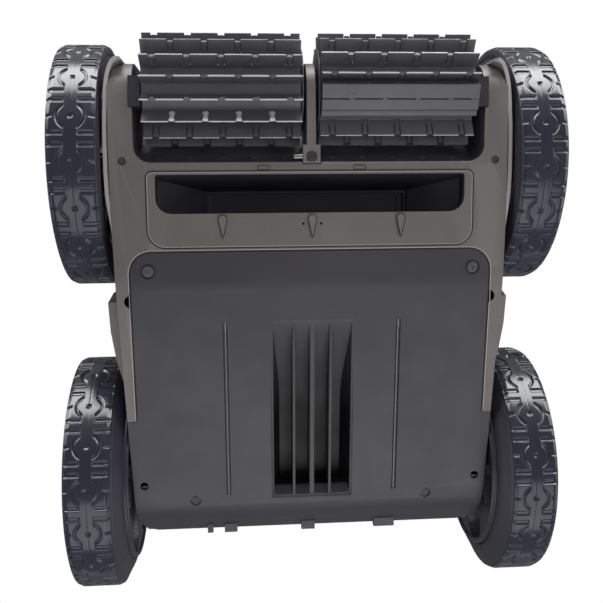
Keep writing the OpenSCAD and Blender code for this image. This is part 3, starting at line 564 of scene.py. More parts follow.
def tyre_mesh(radius, width, inner_wall):
    """A whole tyre about the X axis, with its tread cut into it; disc 0 points down."""
    pitch = 2 * math.pi * radius / DISCS
    steps = np.array(ROUND_STEPS)
    one_disc = np.concatenate([steps, pitch - steps[:0:-1]])
    along = np.tile(one_disc, DISCS)
    angles = (along + np.repeat(np.arange(DISCS), len(one_disc)) * pitch) / radius
    half = np.array(ACROSS_STEPS)
    across = np.concatenate([-half[:0:-1], half])
    drop = 1.6 * smooth(SHOULDER - 4, SHOULDER + 0.6, np.abs(across))
    surface = radius - drop[:, None] - tread_depth(along[None, :], across[:, None], pitch)
    w = width / 2
    inner = [(radius - depth, -w - lift) for depth, lift in inner_wall[::-1]]
    outer = [(radius - depth, w + lift) for depth, lift in FLAT_WALL]
    profile = inner + [(surface[i], across[i]) for i in range(len(across))] + outer
    points = np.zeros((len(profile), len(angles), 3))
    for i, (r, x) in enumerate(profile):
        points[i, :, 0] = x
        points[i, :, 1] = -r * np.sin(angles)
        points[i, :, 2] = -r * np.cos(angles)
    mesh = grid_mesh("tyre", points, True, True)
    mesh.flip_normals()
    shade(mesh, TREAD_SHARP)
    mesh.materials.append(TYRE_RUBBER)
    mesh.materials.append(FLANK_RUBBER)
    for polygon in mesh.polygons:
        if abs(polygon.center.x) > (w - 0.9) * MM:
            polygon.material_index = 1
    return mesh


# ---- rims and hub caps ----

SPOKES = 6
RIM_SHARP = math.radians(38)
WELL = 27.0                   # depth of the rim's inner barrel below the tread
SEAT = 22.1                   # depth of the tyre's seat below the tread


def polar_mesh(name, radii, steps, front, back, material):
    """A round plate about the X axis; front and back give x at (radius, angle) grids."""
    angles = np.arange(steps) / steps * 2 * math.pi
    r, a = np.meshgrid(np.array(radii), angles, indexing="ij")
    rows = []
    for x, order in ((front(r, a), 1), (back(r, a), -1)):
        points = np.stack([x, -r * np.sin(a), -r * np.cos(a)], 2)
        rows.append(points[::order])
    mesh = grid_mesh(name, np.concatenate(rows), True, True)
    store(form_of(mesh), mesh, RIM_SHARP)
    mesh.materials.append(material)
    return mesh


def spoke_share(r, a, hub, outer, narrow):
    """1 on a spoke and 0 in the window between two spokes."""
    turn = np.mod(a, 2 * math.pi / SPOKES) - math.pi / SPOKES
    sideways_mm = np.abs(turn) * r
    middle = (hub + outer) / 2
    half_length = (outer - hub) / 2
    room = np.clip(1 - ((r - middle) / half_length) ** 2, 0, 1) ** 0.5
    half_window = (math.pi / SPOKES * r - narrow) * room
    return smooth(-2.2, 1.6, sideways_mm - half_window)


def petal_share(r, a):
    """0 inside one of the cover's petal windows, pointed towards the hub, and 1 elsewhere."""
    turn = np.mod(a, 2 * math.pi / SPOKES) - math.pi / SPOKES
    across, out = np.sin(turn) * r, np.cos(turn) * r
    inside = np.hypot(across, np.maximum(0, out - 58)) - 17 * np.clip((out - 42) / 16, 0, 1) ** 0.8
    return smooth(-0.9, 0.9, inside)


def add_barrel(mesh, radius, width, reach):
    """Joins the barrel that carries the tyre to the rim's face; reach is its extra inner depth."""
    w = width / 2
    well, seat = radius - WELL, radius - SEAT
    bm = bmesh.new()
    add_revolved(bm, [(well - 0.4, -w + 2.4 - reach), (well + 0.8, -w + 1.4 - reach),
                      (well + 2.6, -w + 1.4 - reach), (well + 3.0, -w + 2.4 - reach),
                      (seat, -w + 3.4 - reach), (seat, w - 3.4), (well + 3.0, w - 2.4),
                      (well + 2.6, w - 1.6), (well + 0.8, w - 1.6), (well - 0.4, w - 2.4)],
                 (0, 0, 0), 120)
    bmesh.ops.scale(bm, vec=(MM,) * 3, verts=bm.verts)
    bm.from_mesh(mesh)
    store(bm, mesh, RIM_SHARP)
    return mesh


def open_rim(radius, width):
    """The front rims, seen from inside: a stepped barrel and six swelling spokes round the hub."""
    w = width / 2
    well = radius - WELL
    radii = np.concatenate([np.linspace(7.0, 20, 8), np.linspace(21.5, 66, 46),
                            np.linspace(66.6, well, 14)])

    def front(r, a):
        spoke = spoke_share(r, a, 20, 66, 9)
        swell = 7.0 * np.sin(np.clip((r - 18) / 50, 0, 1) * math.pi) ** 0.7
        turn = np.mod(a + math.pi / SPOKES, 2 * math.pi / SPOKES) - math.pi / SPOKES
        crown = np.clip(1 - (turn * r / 15) ** 2, 0, 1) ** 0.5
        face = -5.0 - swell * (0.45 + 0.55 * crown)
        face = np.where(r < 20, -w + 3.2 + 2.0 * smooth(17, 20, r), face)
        face = face * spoke + 6.0 * (1 - spoke)
        steps = -2.2 * smooth(66, 66.8, r) - 2.0 * smooth(69.4, 70.2, r) - 3.2 * smooth(
            72, well, r)
        return np.where(r > 66, -5.0 + steps, face)

    def back(r, a):
        return np.where(r < 20, w - 6.0, 8.2)

    return add_barrel(polar_mesh("rim_disc", radii, 240, front, back, RIM_BLACK), radius, width, 0)


WINDOW_FLOOR = -8.0           # floor of the covered rims' windows, from the wheel's middle


def covered_rim(radius, width, reach):
    """The rear rims, closed on their inner side by a cover with petal windows."""
    w = width / 2
    well = radius - WELL
    cover = -w + 2.6 - reach
    radii = np.concatenate([np.linspace(7.0, 20, 6), np.linspace(21, 40, 8),
                            np.linspace(40.8, well, 58)])

    def front(r, a):
        shell = cover + 8.0 * (1 - smooth(20, 24, r)) + 0.5 * smooth(68, well, r)
        ridge = -0.7 * smooth(27, 28, r) * (1 - smooth(31, 32, r))
        closed = petal_share(r, a)
        return (shell + ridge) * closed + WINDOW_FLOOR * (1 - closed)

    def back(r, a):
        return np.where(r < 20, w - 6.0, 1.0)

    mesh = polar_mesh("rim_cover", radii, 300, front, back, RIM_BLACK)
    mesh.materials.append(COVER_PALE)
    for polygon in mesh.polygons:
        from_axle = math.hypot(polygon.center.y, polygon.center.z) / MM
        if from_axle > 35 and -0.0245 < polygon.center.x < -0.0045:
            polygon.material_index = 1
    return add_barrel(mesh, radius, width, reach)


def cap_mesh(width):
    """Outer face of a wheel: a dished cover with six ribs, a rim ring and a centre cap."""
    w = width / 2
    radii = np.concatenate([np.linspace(0.4, 12, 10), np.linspace(12.6, 15, 6),
                            np.linspace(16, 58, 40), np.linspace(58.6, 65.8, 12)])

    def front(r, a):
        dome = w + 6.4 - 7.2 * (r / 66) ** 2.2
        spoke = spoke_share(r, a, 17, 58, 7)
        sunk = 4.6 * (1 - spoke)
        cap = 1.6 * (1 - smooth(12, 13, r)) - 1.2 * (1 - smooth(2.4, 4, r))
        ring = 1.2 * smooth(58.4, 59.4, r) * (1 - smooth(63.6, 65.4, r))
        return dome - sunk + cap + ring

    def back(r, a):
        return np.full_like(r, w - 7.0) + 3.0 * smooth(40, 64, r)

    return polar_mesh("hub_cap", radii, 240, front, back, TRIM_BLACK)


# Turn of each tyre's disc 0 from straight down towards the front, in degrees
TREAD_TURN = {"front_left": -0.47, "front_right": -3.85, "rear_left": 8.03, "rear_right": 17.55}
# Angle of one of each rear rim's windows from straight down towards the front
WINDOW_AT = {"rear_left": -57, "rear_right": -67}


def wheels():
    low, high = box_mm("tyre_front_right")
    radius, width = (high[2] - low[2]) / 2, high[0] - low[0]
    reach = low[0] - box_mm("rim_rear_right")[0][0] + 2.4
    meshes = {"front": (tyre_mesh(radius, width, FLAT_WALL), open_rim(radius, width)),
              "rear": (tyre_mesh(radius, width, DOMED_WALL), covered_rim(radius, width, reach))}
    cap = cap_mesh(width)
    for corner, turn in TREAD_TURN.items():
        end, side_name = corner.split("_")
        low, high = box_mm("hub_cap_" + corner)
        side = SIDES[side_name]
        middle_x = side * (box_mm("tyre_front_right")[0][0] + width / 2)
        centre = Vector((middle_x, (low[1] + high[1]) / 2, (low[2] + high[2]) / 2)) * MM
        outward = Matrix.Identity(4) if side > 0 else Matrix.Rotation(math.pi, 4, "Z")

        def seat(angle):
            return Matrix.Translation(centre) @ Matrix.Rotation(-math.radians(angle), 4, "X") @ outward
        tyre, rim = meshes[end]
        rim_turn = turn
        if corner in WINDOW_AT:
            rim_turn = WINDOW_AT[corner] - side * 180 / SPOKES
        body = "wheel_" + corner
        seated("tyre_tread_" + corner, tyre, body, "tyre", "tyre_" + corner, seat(turn))
        seated("rim_spokes_" + corner, rim, body, "rim", "rim_" + corner, seat(rim_turn))
        seated("hub_cover_" + corner, cap, body, "frame", "hub_cap_" + corner, seat(turn))


def seated(name, mesh, body, slot, node, matrix):
    """A copy of a wheel's mesh, moved to its place on the robot."""
    placed = mesh.copy()
    placed.name = name
    placed.transform(matrix)
    return show(name, placed, mesh.materials[0], body, slot, [node])


# ---- brush rollers ----

FINS = 16
FIN_TIP_R = 44.2
SLEEVE_R = 29.4
FIN_SEGMENTS = 5
FIN_GAP = 5.0
FIN_WEB = 3.4
ROLLER_IN = 7.2
ROLLER_OUT = 130.2
END_STRETCH = 7.2             # the offset fins' short stretches at the roller's two ends
# Angle of the first fin from straight down towards the front, and the fins the seam replaces
ROLLER_TURN = {"left": (6.6, (8,)), "right": (10.2, (1, 2))}
SEAM_TURN = -16.0             # angle of the right roller's seam
PAINTED_LIT_ROW = 2                # the left roller's fin whose posts are coloured pale as a painted highlight


def fin_spans(offset):
    """Start and end of each stretch of a fin along the roller, in millimetres."""
    length = ROLLER_OUT - ROLLER_IN
    pitch = (length + FIN_GAP) / FIN_SEGMENTS
    if not offset:
        return [(k * pitch, (k + 1) * pitch - FIN_GAP) for k in range(FIN_SEGMENTS)]
    inner = length - 2 * (END_STRETCH + FIN_GAP)
    step = (inner + FIN_GAP) / (FIN_SEGMENTS - 1)
    first = END_STRETCH + FIN_GAP
    middle = [(first + k * step, first + (k + 1) * step - FIN_GAP)
              for k in range(FIN_SEGMENTS - 1)]
    return [(0.0, END_STRETCH)] + middle + [(length - END_STRETCH, length)]


# Section of a fin: share of its height, and half thickness
FIN_SECTION = [(0.0, 2.8), (0.1, 1.5), (0.5, 1.15), (0.9, 0.95), (0.985, 0.8), (1.0, 0.5)]


def add_blade(bm, place, start, end, root, tip):
    """One stretch of a fin: a tapering blade with a flat paler tip, partly worn rubber and partly a
    painted highlight, and softly rounded ends.
    """
    ease = 0.5
    stations = [start, start + ease * 0.3, start + ease, end - ease, end - ease * 0.3, end]
    shrink = [0.35, 0.75, 1.0, 1.0, 0.75, 0.35]
    rings = []
    for x, share in zip(stations, shrink):
        trim = 0.45 * (1 - share)
        row = []
        for side in (-1, 1):
            for h, half in (FIN_SECTION if side < 0 else FIN_SECTION[::-1]):
                radius = root + (tip - trim - root) * h
                row.append(bm.verts.new(place(x, radius, side * half * share)))
        rings.append(row)
    count = len(rings[0])
    for i, face in enumerate(side_faces(bm, rings)):
        # the tip face takes the pale tip finish: worn rubber and a painted highlight
        face.material_index = int(i % count == count // 2 - 1)
    end_faces(bm, rings)


def add_post(bm, place, x, tip, pale):
    """A waisted post that fills the gap between two stretches of a fin; a pale one carries a painted
    highlight.
    """
    root = SLEEVE_R + FIN_WEB - 0.6
    levels = [(root, 2.3), (root + 1.5, 2.0), (root + 4.6, 1.25), (tip - 4.4, 1.7),
              (tip - 1.8, 2.1)]
    rings = []
    for radius, half in levels:
        corners = [(-half, -0.9), (half, -0.9), (half, 0.9), (half * 0.4, 1.5), (-half * 0.4, 1.5),
                   (-half, 0.9)]
        rings.append([bm.verts.new(place(x + q, radius, t)) for q, t in corners])
    for face in end_faces(bm, rings) + side_faces(bm, rings):
        face.material_index = int(pale)


def roller(side_name):
    side = SIDES[side_name]
    body = "roller_" + side_name
    low, high = box_mm("roller_fins_" + side_name)
    axis_y, axis_z = (low[1] + high[1]) / 2, (low[2] + high[2]) / 2
    turn, seam = ROLLER_TURN[side_name]
    length = ROLLER_OUT - ROLLER_IN

    def placed(angle):
        """Turns (distance along, radius, distance across) into a place on the roller."""
        c, s = math.cos(angle), math.sin(angle)
        return lambda x, r, t: (side * (ROLLER_IN + x), axis_y - r * s - t * c,
                                axis_z - r * c + t * s)

    bm = bmesh.new()
    tube = [(SLEEVE_R - 2.3, 0.6), (SLEEVE_R - 1.0, 0), (SLEEVE_R, 0.9), (SLEEVE_R, length - 0.9),
            (SLEEVE_R - 1.0, length), (SLEEVE_R - 2.3, length - 0.6)]
    add_revolved(bm, tube, (side * ROLLER_IN, axis_y, axis_z), 96, "x", side)
    for row in range(FINS):
        place = placed(math.radians(turn - row * 360 / FINS))
        if row in seam:
            continue
        # the fins alternate, and the seam's two fins shift the order past it
        shift = (side > 0) + (len(seam) > 1 and max(seam) < row < FINS - 3)
        offset = (row + shift) % 2 == 1
        spans = fin_spans(offset)
        for start, end in spans:
            add_blade(bm, place, start, end, SLEEVE_R - 0.8, FIN_TIP_R)
        for before, after in zip(spans, spans[1:]):
            # painted highlight: this row's posts are coloured pale
            pale = side < 0 and row == PAINTED_LIT_ROW
            add_post(bm, place, (before[1] + after[0]) / 2, FIN_TIP_R, pale)
        add_blade(bm, place, 0.4, length - 0.4, SLEEVE_R - 0.8, SLEEVE_R + FIN_WEB)
    if len(seam) > 1:
        add_seam(bm, placed(math.radians(SEAM_TURN)), length)
    sleeve = piece("brush_sleeve_" + side_name, bm, FIN_RUBBER, body, "brush_rubber",
                   ["roller_fins_" + side_name])
    sleeve.data.materials.append(FIN_TIP_PALE_AND_HIGHLIGHT)

    bm = cad_form("roller_core_" + side_name)
    round_edges(bm, 0.4, 35, 2)
    # end discs beside the middle arm and at the outer bearing
    for x, radius in ((ROLLER_IN - 1.5, 33.0), (ROLLER_OUT - 1.2, 25.0)):
        add_revolved(bm, [(6, 0), (radius - 1.0, 0), (radius, 0.5), (radius, 1.0),
                          (radius - 1.0, 1.4), (radius - 4, 1.5), (radius - 5, 0.9), (6, 0.9)],
                     (side * x, axis_y, axis_z), 72, "x", side)
    piece("brush_core_" + side_name, bm, CORE_GREY, body, "brush_core",
          ["roller_core_" + side_name])


def add_seam(bm, place, length):
    """The stepped closing strip where the brush sleeve is joined, with its slots and a stud."""
    def strip(r0, r1, t0, t1, x0=0.6, x1=None):
        x1 = length - 0.6 if x1 is None else x1
        corners = [(r0, t0), (r1 - 0.6, t0), (r1 - 0.15, t0 + 0.2), (r1, t0 + 0.7), (r1, t1 - 0.7),
                   (r1 - 0.15, t1 - 0.2), (r1 - 0.6, t1), (r0, t1)]
        rings = [[bm.verts.new(place(x, r, t)) for r, t in corners] for x in (x0, x1)]
        end_faces(bm, rings)
        side_faces(bm, rings)
    top = FIN_TIP_R - 4.0
    strip(SLEEVE_R - 1, top, 0.4, 11.2)
    strip(SLEEVE_R - 1, top - 0.9, -8.4, -0.3)
    strip(SLEEVE_R - 1, top - 4.0, -13.4, -8.9)
    # keys across the seam, and a pin at its outer end
    pitch = (length + FIN_GAP) / FIN_SEGMENTS
    for k in range(1, FIN_SEGMENTS):
        x = k * pitch - FIN_GAP / 2
        strip(top - 2, top + 0.3, -0.9, 0.9, x - 1.8, x + 1.8)
    strip(top - 3, top + 0.2, -0.6, 0.6, length - 7.0, length - 1.5)
    ring = [(4.0, 0.0), (4.0, 0.5), (3.0, 0.5), (3.0, 0.0)]
    centre_x, centre_t = length * 0.19, 7.0
    steps = 24
    rows = [[bm.verts.new(place(centre_x + q * math.cos(2 * math.pi * i / steps), top - 0.1 + h,
                                centre_t + q * math.sin(2 * math.pi * i / steps)))
             for i in range(steps)] for q, h in ring]
    side_faces(bm, rows, True)


# ---- underside ----

# The axles' midpoint, which the underside's places along Y are measured from
MID_Y = (box_mm("hub_cap_front_left")[0][1] + box_mm("hub_cap_rear_left")[1][1]) / 2
BAY_HOLES = [19.5, 44.5, 69.5, 94.5, 119.5]
BAY_HOLE_HALF = 2.3
BAY_HALF = 138.2
BAY_REAR = -133.6
BEARING_FACE = 131.6
# Ribs across the rail beside each front wheel: place along Y, inner and outer end
RAIL_RIBS = ((-155.8, 148.5, 155.6), (-116.3, 150, 155.6))
RAIL_HOLE = (146, -135)
SLOT_POSTS = (-37.6, 37.6)    # holes in front of the suction slot
PANEL_RIBS = (-70, 0, 70)
HATCH_HALF = 143.4
HATCH_FRONT = -65.2
PANEL_HALF = 128.4
RAMP_HALF = 32
RAMP_FRONT = -8
RAMP_BACK = 143
RAMP_DEPTH = 25.0
RAMP_CORNER = 6.0
RAMP_RUN = 78                 # the ramp is at its full depth this far behind its front end
RAMP_SHARP = math.radians(40)
# painted shade in the ramp, darker towards its deep rear end
RAMP_PAINTED_SHADE = ramp_plastic_painted_shade(srgb(54, 52, 58), srgb(15, 14, 19), (MID_Y + 20) * MM, (MID_Y + 76) * MM)


def underside_parts():
    lower_frame()
    moulding("suction_panel", 0.5, FRAME_GREY, "frame", angle=40)
    moulding("bottom_hatch", 0.6, HATCH_BLACK, "hatch", angle=40)
    seam_lines()
    ramp_liner()
    brush_arm()
    arch_guards()
    for side_name, side in SIDES.items():
        name = "roller_bearing_" + side_name
        low, high = box_mm(name)
        bm = cad_form(name)
        round_edges(bm, 0.7, 35, 2)
        inner = side * BEARING_FACE
        add_box(bm, (min(inner, inner - side), high[1] - 9, low[2] + 0.3),
                (max(inner, inner - side), high[1] - 1.5, high[2] - 4))
        piece(name + "_block", bm, INNER_BLACK, "chassis", "inner", [name])
    moulding("underside_screws", 0.25, DARK_STEEL, "steel", angle=40, name="underside_screw_set")


def capsule(x, y, half_x, half_y):
    return round_rect(x - half_x, y - half_y, x + half_x, y + half_y, half_y - 0.01, 6)


def lower_frame():
    low = box_mm("lower_frame")[0]
    bm = cad_form("lower_frame")
    cutter = bmesh.new()
    # square openings along the bay's rear wall
    for x in BAY_HOLES:
        for side in (-1, 1):
            add_box(cutter, (side * x - BAY_HOLE_HALF, MID_Y - 146, low[2] + 25),
                    (side * x + BAY_HOLE_HALF, MID_Y - 130, low[2] + 29.6))
    bm = combine(bm, cutter, "DIFFERENCE")

    def outer_corner(edge):
        a, b = edge.verts[0].co, edge.verts[1].co
        middle = (a + b) / 2
        return middle.z < low[2] + 0.2 and abs(middle.x) > 143.5 and abs(a.y - b.y) > 2
    round_edges(bm, 2.9, 50, 4, outer_corner)

    def bay_lip(edge):
        a, b = edge.verts[0].co, edge.verts[1].co
        middle = (a + b) / 2
        return (max(a.z, b.z) < low[2] + 0.2 and MID_Y - 200 < middle.y < MID_Y - 131
                and abs(middle.x) < 140 and (a - b).length > 1.5)
    round_edges(bm, 1.0, 50, 3, bay_lip)
    round_edges(bm, 0.45, 40, 2)
    # short ribs that cross the rail beside each front wheel
    for side in (-1, 1):
        for y, inner, outer in RAIL_RIBS:
            add_box(bm, (min(side * inner, side * outer), MID_Y + y - 0.5, low[2] + 0.1),
                    (max(side * inner, side * outer), MID_Y + y + 0.5, low[2] + 2))
    shown = piece("lower_frame_moulding", bm, FRAME_GREY, "chassis", "frame", ["lower_frame"])
    # the frame's faces inside the brush bay are coloured darker than the rest of the frame
    shown.data.materials.append(BAY_INSIDE_DARKER)
    for polygon in shown.data.polygons:
        middle = polygon.center / MM
        behind = middle.y >= MID_Y + BAY_REAR
        if abs(middle.x) < BAY_HALF and not behind and middle.z > low[2] + 1.4:
            polygon.material_index = 1
    # the floors of the two holes in the rails
    bm = bmesh.new()
    for side in (-1, 1):
        add_revolved(bm, [(0.2, 0), (3.15, 0), (3.15, 1.5), (0.2, 1.5)],
                     (side * RAIL_HOLE[0], MID_Y + RAIL_HOLE[1], low[2] + 2.2), 32, "z")
    piece("rail_hole_floors", bm, HOLE_GREY, "chassis", "frame")


def corner_arc(x, y, radius, start, end):
    return arc((x, MID_Y + y), radius, start, end, 8)


def seam_lines():
    """Painted shade and painted highlights for the fine gaps round the hatch and panel: thin black
    lines for the gaps' shadow and thin pale lines for the light on the edges beside them.
    """
    height = surface_below("lower_frame", "suction_panel", "bottom_hatch", "brush_arm")
    dark, pale = bmesh.new(), bmesh.new()
    # painted shadow lines along the gaps, with painted highlight lines beside them
    for bm, grow, width in ((dark, -0.4, 1.0), (pale, 0.9, 0.55)):
        half, front = HATCH_HALF + grow, HATCH_FRONT - grow
        radius = 17 + grow
        path = [(-half, MID_Y + 72)] + corner_arc(radius - half, front + radius, radius, 180, 270)
        path += corner_arc(half - radius, front + radius, radius, 270, 360) + [(half, MID_Y + 72)]
        add_line(bm, path, width, height)
    for bm, grow, width in ((dark, 0.1, 0.9), (pale, -0.8, 0.4)):
        half = PANEL_HALF
        path = corner_arc(half - 14, -82, 14 + grow, 0, 90)
        path += corner_arc(14 - half, -82, 14 + grow, 90, 180)
        path += corner_arc(5 - half, -122, 5 + grow, 180, 270)
        path += corner_arc(half - 5, -122, 5 + grow, 270, 360)
        add_line(bm, path, width, height, True)
    # painted shadow lines round the capsules in front of the suction slot
    for x in SLOT_POSTS:
        add_line(dark, capsule(x, MID_Y - 129.5, 4.7, 1.8), 0.7, height, True)
    # painted shadow lines round the ribs on the panel
    for x in PANEL_RIBS:
        outline = [(x, MID_Y - 74.6)] + arc((x, MID_Y - 90), 3.3, 170, 370, 10)
        add_line(dark, outline, 0.6, height, True)
    # painted shadow lines on either side of a painted highlight line along each of the hatch's two
    # long grooves
    for side in (-1, 1):
        for x, bm, width in ((68.9, dark, 0.8), (69.8, pale, 0.4), (71.6, dark, 0.8)):
            add_line(bm, [(side * x, MID_Y - 8), (side * x, MID_Y + 141)], width, height)
    piece("seam_shadows", dark, PAINTED_SHADE_BLACK, "chassis", "hatch")
    piece("seam_painted_highlights", pale, PAINTED_HIGHLIGHT_PALE, "chassis", "frame")


def ramp_liner():
    """The sunken ramp: a floor that curves ever deeper between sloping sides and a rounded lip."""
    height = surface_below("bottom_hatch")
    xs = np.arange(-RAMP_HALF - 2, RAMP_HALF + 2.1, 0.5)
    ys = np.arange(RAMP_FRONT - 2, RAMP_BACK + 3.1, 1.0)
    level = np.array([height(RAMP_HALF + 8, MID_Y + y) for y in ys])
    x, y = np.meshgrid(xs, ys)
    middle = (RAMP_FRONT + RAMP_BACK) / 2
    out_x = np.abs(x) - (RAMP_HALF + 0.8 - RAMP_CORNER)
    out_y = np.abs(y - middle) - ((RAMP_BACK - RAMP_FRONT) / 2 + 0.8 - RAMP_CORNER)
    outside = np.hypot(np.maximum(out_x, 0), np.maximum(out_y, 0)) + np.minimum(
        np.maximum(out_x, out_y), 0) - RAMP_CORNER
    run = np.clip((y - RAMP_FRONT) / RAMP_RUN, 0, 1)
    floor_depth = RAMP_DEPTH * np.sin(run * math.pi / 2) ** 1.15
    floor_depth = np.where(y > RAMP_BACK - 8, (RAMP_BACK + 1 - y) * 0.75, floor_depth)
    depth = np.clip(np.minimum(floor_depth, -outside / 0.27), 0, None)
    front = level[:, None] + depth - 0.12
    rim = (np.abs(x) > RAMP_HALF + 1.7) | (y < RAMP_FRONT - 1.5) | (y > RAMP_BACK + 2.5)
    back = front + np.where(rim, 0.0, 0.8)
    rows = [np.stack([x, y + MID_Y, z], 2)[::order] for z, order in ((front, 1), (back, -1))]
    mesh = grid_mesh("ramp_liner", np.concatenate(rows), True, False)
    bm = form_of(mesh)
    bmesh.ops.remove_doubles(bm, verts=bm.verts, dist=1e-6)
    store(bm, mesh, RAMP_SHARP)
    show("ramp_liner", mesh, RAMP_PAINTED_SHADE, "chassis", "hatch")


# Outer edge of a wheel's guard in plan, from its nose back
GUARD_EDGE = [(144.5, -212.9), (146.4, -213.9), (148.8, -214.1), (151, -213.1), (153.2, -210.6),
              (154.9, -206.7), (156.3, -202), (157.4, -196.9), (158.2, -190), (158.8, -182),
              (159.4, -172), (159.9, -162), (160.1, -146), (160.2, -128), (159.7, -112),
              (158.6, -102), (157.4, -94), (156.3, -86), (155.4, -78)]


# Strips along that edge: name, finish, first point, inset in X and Y, width, height, rounding
# the lip's pale finish is a painted highlight, and the gap's black strip is painted shade
GUARD_STRIPS = [("guard_web_", FRAME_GREY, 6, (4.6, 4.8), 4.2, (-0.8, 0.6), 0),
                ("guard_lip_", PAINTED_HIGHLIGHT_PALE, 2, (1.3, 1.4), 3.0, (-1.2, 2.0), 0.9),
                ("guard_gap_", PAINTED_SHADE_BLACK, 5, (3.0, 3.3), 0.7, (-0.9, 1.0), 0)]


def arch_guards():
    """The curved guard beside each front wheel, with its rounded lip coloured pale as a painted
    highlight and a black strip of painted shade in the gap beside it.
    """
    for side_name, side in SIDES.items():
        node = "wheel_arch_" + side_name
        under = box_mm(node)[0][2]
        moulding(node, 1.2, GUARD_GREY, "frame")
        for name, material, first, inset, width, (z0, z1), rounding in GUARD_STRIPS:
            path = [(side * (x - inset[0]), MID_Y + y + inset[1]) for x, y in GUARD_EDGE[first:]]
            bm = bmesh.new()
            add_strip(bm, path, width, under + z0, under + z1)
            if rounding:
                round_edges(bm, rounding, 60, 3)
            piece(name + side_name, bm, material, "chassis", "frame")


def brush_arm():
    low, high = box_mm("brush_arm")
    bm = cad_form("brush_arm")
    round_edges(bm, 0.7, 35, 3)
    # raised plate round the foot's screw, and a steel pin beside the foot
    plate = round_rect(low[0] + 0.9, MID_Y - 145.6, high[0] - 0.9, MID_Y - 133.8, 2.0)
    add_strip(bm, plate, 0.5, low[2] - 0.3, low[2] + 0.4, True)
    piece("brush_arm_moulding", bm, FRAME_GREY, "chassis", "frame", ["brush_arm"])
    bm = bmesh.new()
    add_revolved(bm, [(0.2, 0), (1.7, 0), (2.1, 0.4), (2.1, 7), (0.2, 7)],
                 (low[0] - 7.2, MID_Y - 138, low[2] + 2.6), 32)
    piece("arm_pin", bm, DARK_STEEL, "chassis", "steel")


# ---- every other CAD node ----

# Node, rounding of its edges, finish and material slot
ROUNDED = [
    ("side_skirt_left", 2.0, FRAME_GREY, "frame"), ("side_skirt_right", 2.0, FRAME_GREY, "frame"),
    ("upper_shell", 0.7, FRAME_GREY, "frame"), ("rear_deck", 0.7, FRAME_GREY, "frame"),
    ("carry_handle", 2.5, TRIM_BLACK, "hatch"),
    ("cable_gland", 0.5, TRIM_BLACK, "hatch"), ("outlet_grille", 0.4, TRIM_BLACK, "hatch"),
    ("side_plate_left", 0.5, INNER_BLACK, "inner"), ("side_plate_right", 0.5, INNER_BLACK, "inner"),
    ("canister_tub", 0.5, INNER_BLACK, "inner"), ("intake_duct", 0.4, INNER_BLACK, "inner"),
    ("motor_block", 0.6, INNER_BLACK, "inner"), ("motor_block_cover", 0.5, INNER_BLACK, "inner"),
    ("pump_duct", 0.5, INNER_BLACK, "inner"), ("axle_bushes", 0.3, INNER_BLACK, "inner"),
    ("filter_basket", 0.4, BASKET_GREY, "basket"), ("filter_grip", 0.6, TRIM_BLACK, "hatch"),
]
# The same for nodes that move; each rides on the body of its own name
MOVING = [("lid", 0.5, SMOKED, "lid"), ("lid_latch", 0.8, TRIM_BLACK, "hatch"),
          ("inlet_flap", 0.3, INNER_BLACK, "inner"), ("impeller", 0.4, CORE_GREY, "brush_core")]
# CAD nodes that are shown as they are
KEPT = {"pump_motor": STEEL, "traction_motors": STEEL, "lid_hinge_pin": STEEL,
        "control_board": BOARD_GREEN}
KEPT_PAIRS = {"drive_belt_": BELT_RUBBER, "axle_front_": RIM_BLACK, "axle_rear_": RIM_BLACK,
              "idler_gear_": GEAR_PLASTIC, "motor_pinion_": GEAR_PLASTIC}


def remaining_parts():
    for node, width, material, slot in ROUNDED:
        moulding(node, width, material, slot)
    for node, width, material, slot in MOVING:
        moulding(node, width, material, slot, node)
    kept = dict(KEPT)
    for pair, material in KEPT_PAIRS.items():
        kept.update({pair + side_name: material for side_name in SIDES})
    for node, material in kept.items():
        mesh = NODES[node].data
        for index in range(len(mesh.materials)):
            mesh.materials[index] = material


# ---- stage ----

CAMERA_AT = (-56.8, MID_Y - 102.13, -603.9)
CAMERA_TURN = (7.117, -4.353, -1.065)   # about X, Y and Z, of a view straight up, in degrees
LENS = 47.25


def camera():
    data = bpy.data.cameras.new("view")
    data.lens = LENS
    data.sensor_width = 36
    view = bpy.data.objects.new("view", data)
    bpy.context.scene.collection.objects.link(view)
    rx, ry, rz = (math.radians(a) for a in CAMERA_TURN)
    turn = Matrix.Rotation(rz, 3, "Z") @ Matrix.Rotation(ry, 3, "Y") @ Matrix.Rotation(rx, 3, "X")
    facing = turn.transposed() @ Matrix.Diagonal((1, -1, -1))
    view.matrix_world = Matrix.Translation(Vector(CAMERA_AT) * MM) @ facing.to_4x4()
    data.clip_start = 0.01
    data.clip_end = 20
    bpy.context.scene.camera = view


def softbox(name, place, aim, size, power, glossy=True):
    """A soft rectangular light that faces aim."""
    data = bpy.data.lights.new(name, "AREA")
    data.shape = "RECTANGLE"
    data.size, data.size_y = size
    data.energy = power
    light = bpy.data.objects.new(name, data)
    bpy.context.scene.collection.objects.link(light)
    light.location = place
    light.rotation_mode = "QUATERNION"
    light.rotation_quaternion = (Vector(aim) - Vector(place)).to_track_quat("-Z", "Y")
    light.visible_camera = False
    light.visible_glossy = glossy
    return light


def level_ramp(tree, height, stops):
    """Grey levels by height, from straight down at 0 to straight up at 1."""
    ramp = tree.nodes.new("ShaderNodeValToRGB")
    tree.links.new(height, ramp.inputs["Fac"])
    for position, level in stops[1:-1]:
        ramp.color_ramp.elements.new(position)
    for element, (position, level) in zip(ramp.color_ramp.elements, stops):
        element.position = position
        element.color = grey(level)
    return ramp.outputs["Color"]


def grey(level):
    """A grey of this strength once the world's own strength has multiplied it."""
    return (level / BRIGHTEST, level / BRIGHTEST, level / BRIGHTEST, 1)


BRIGHTEST = 4.0
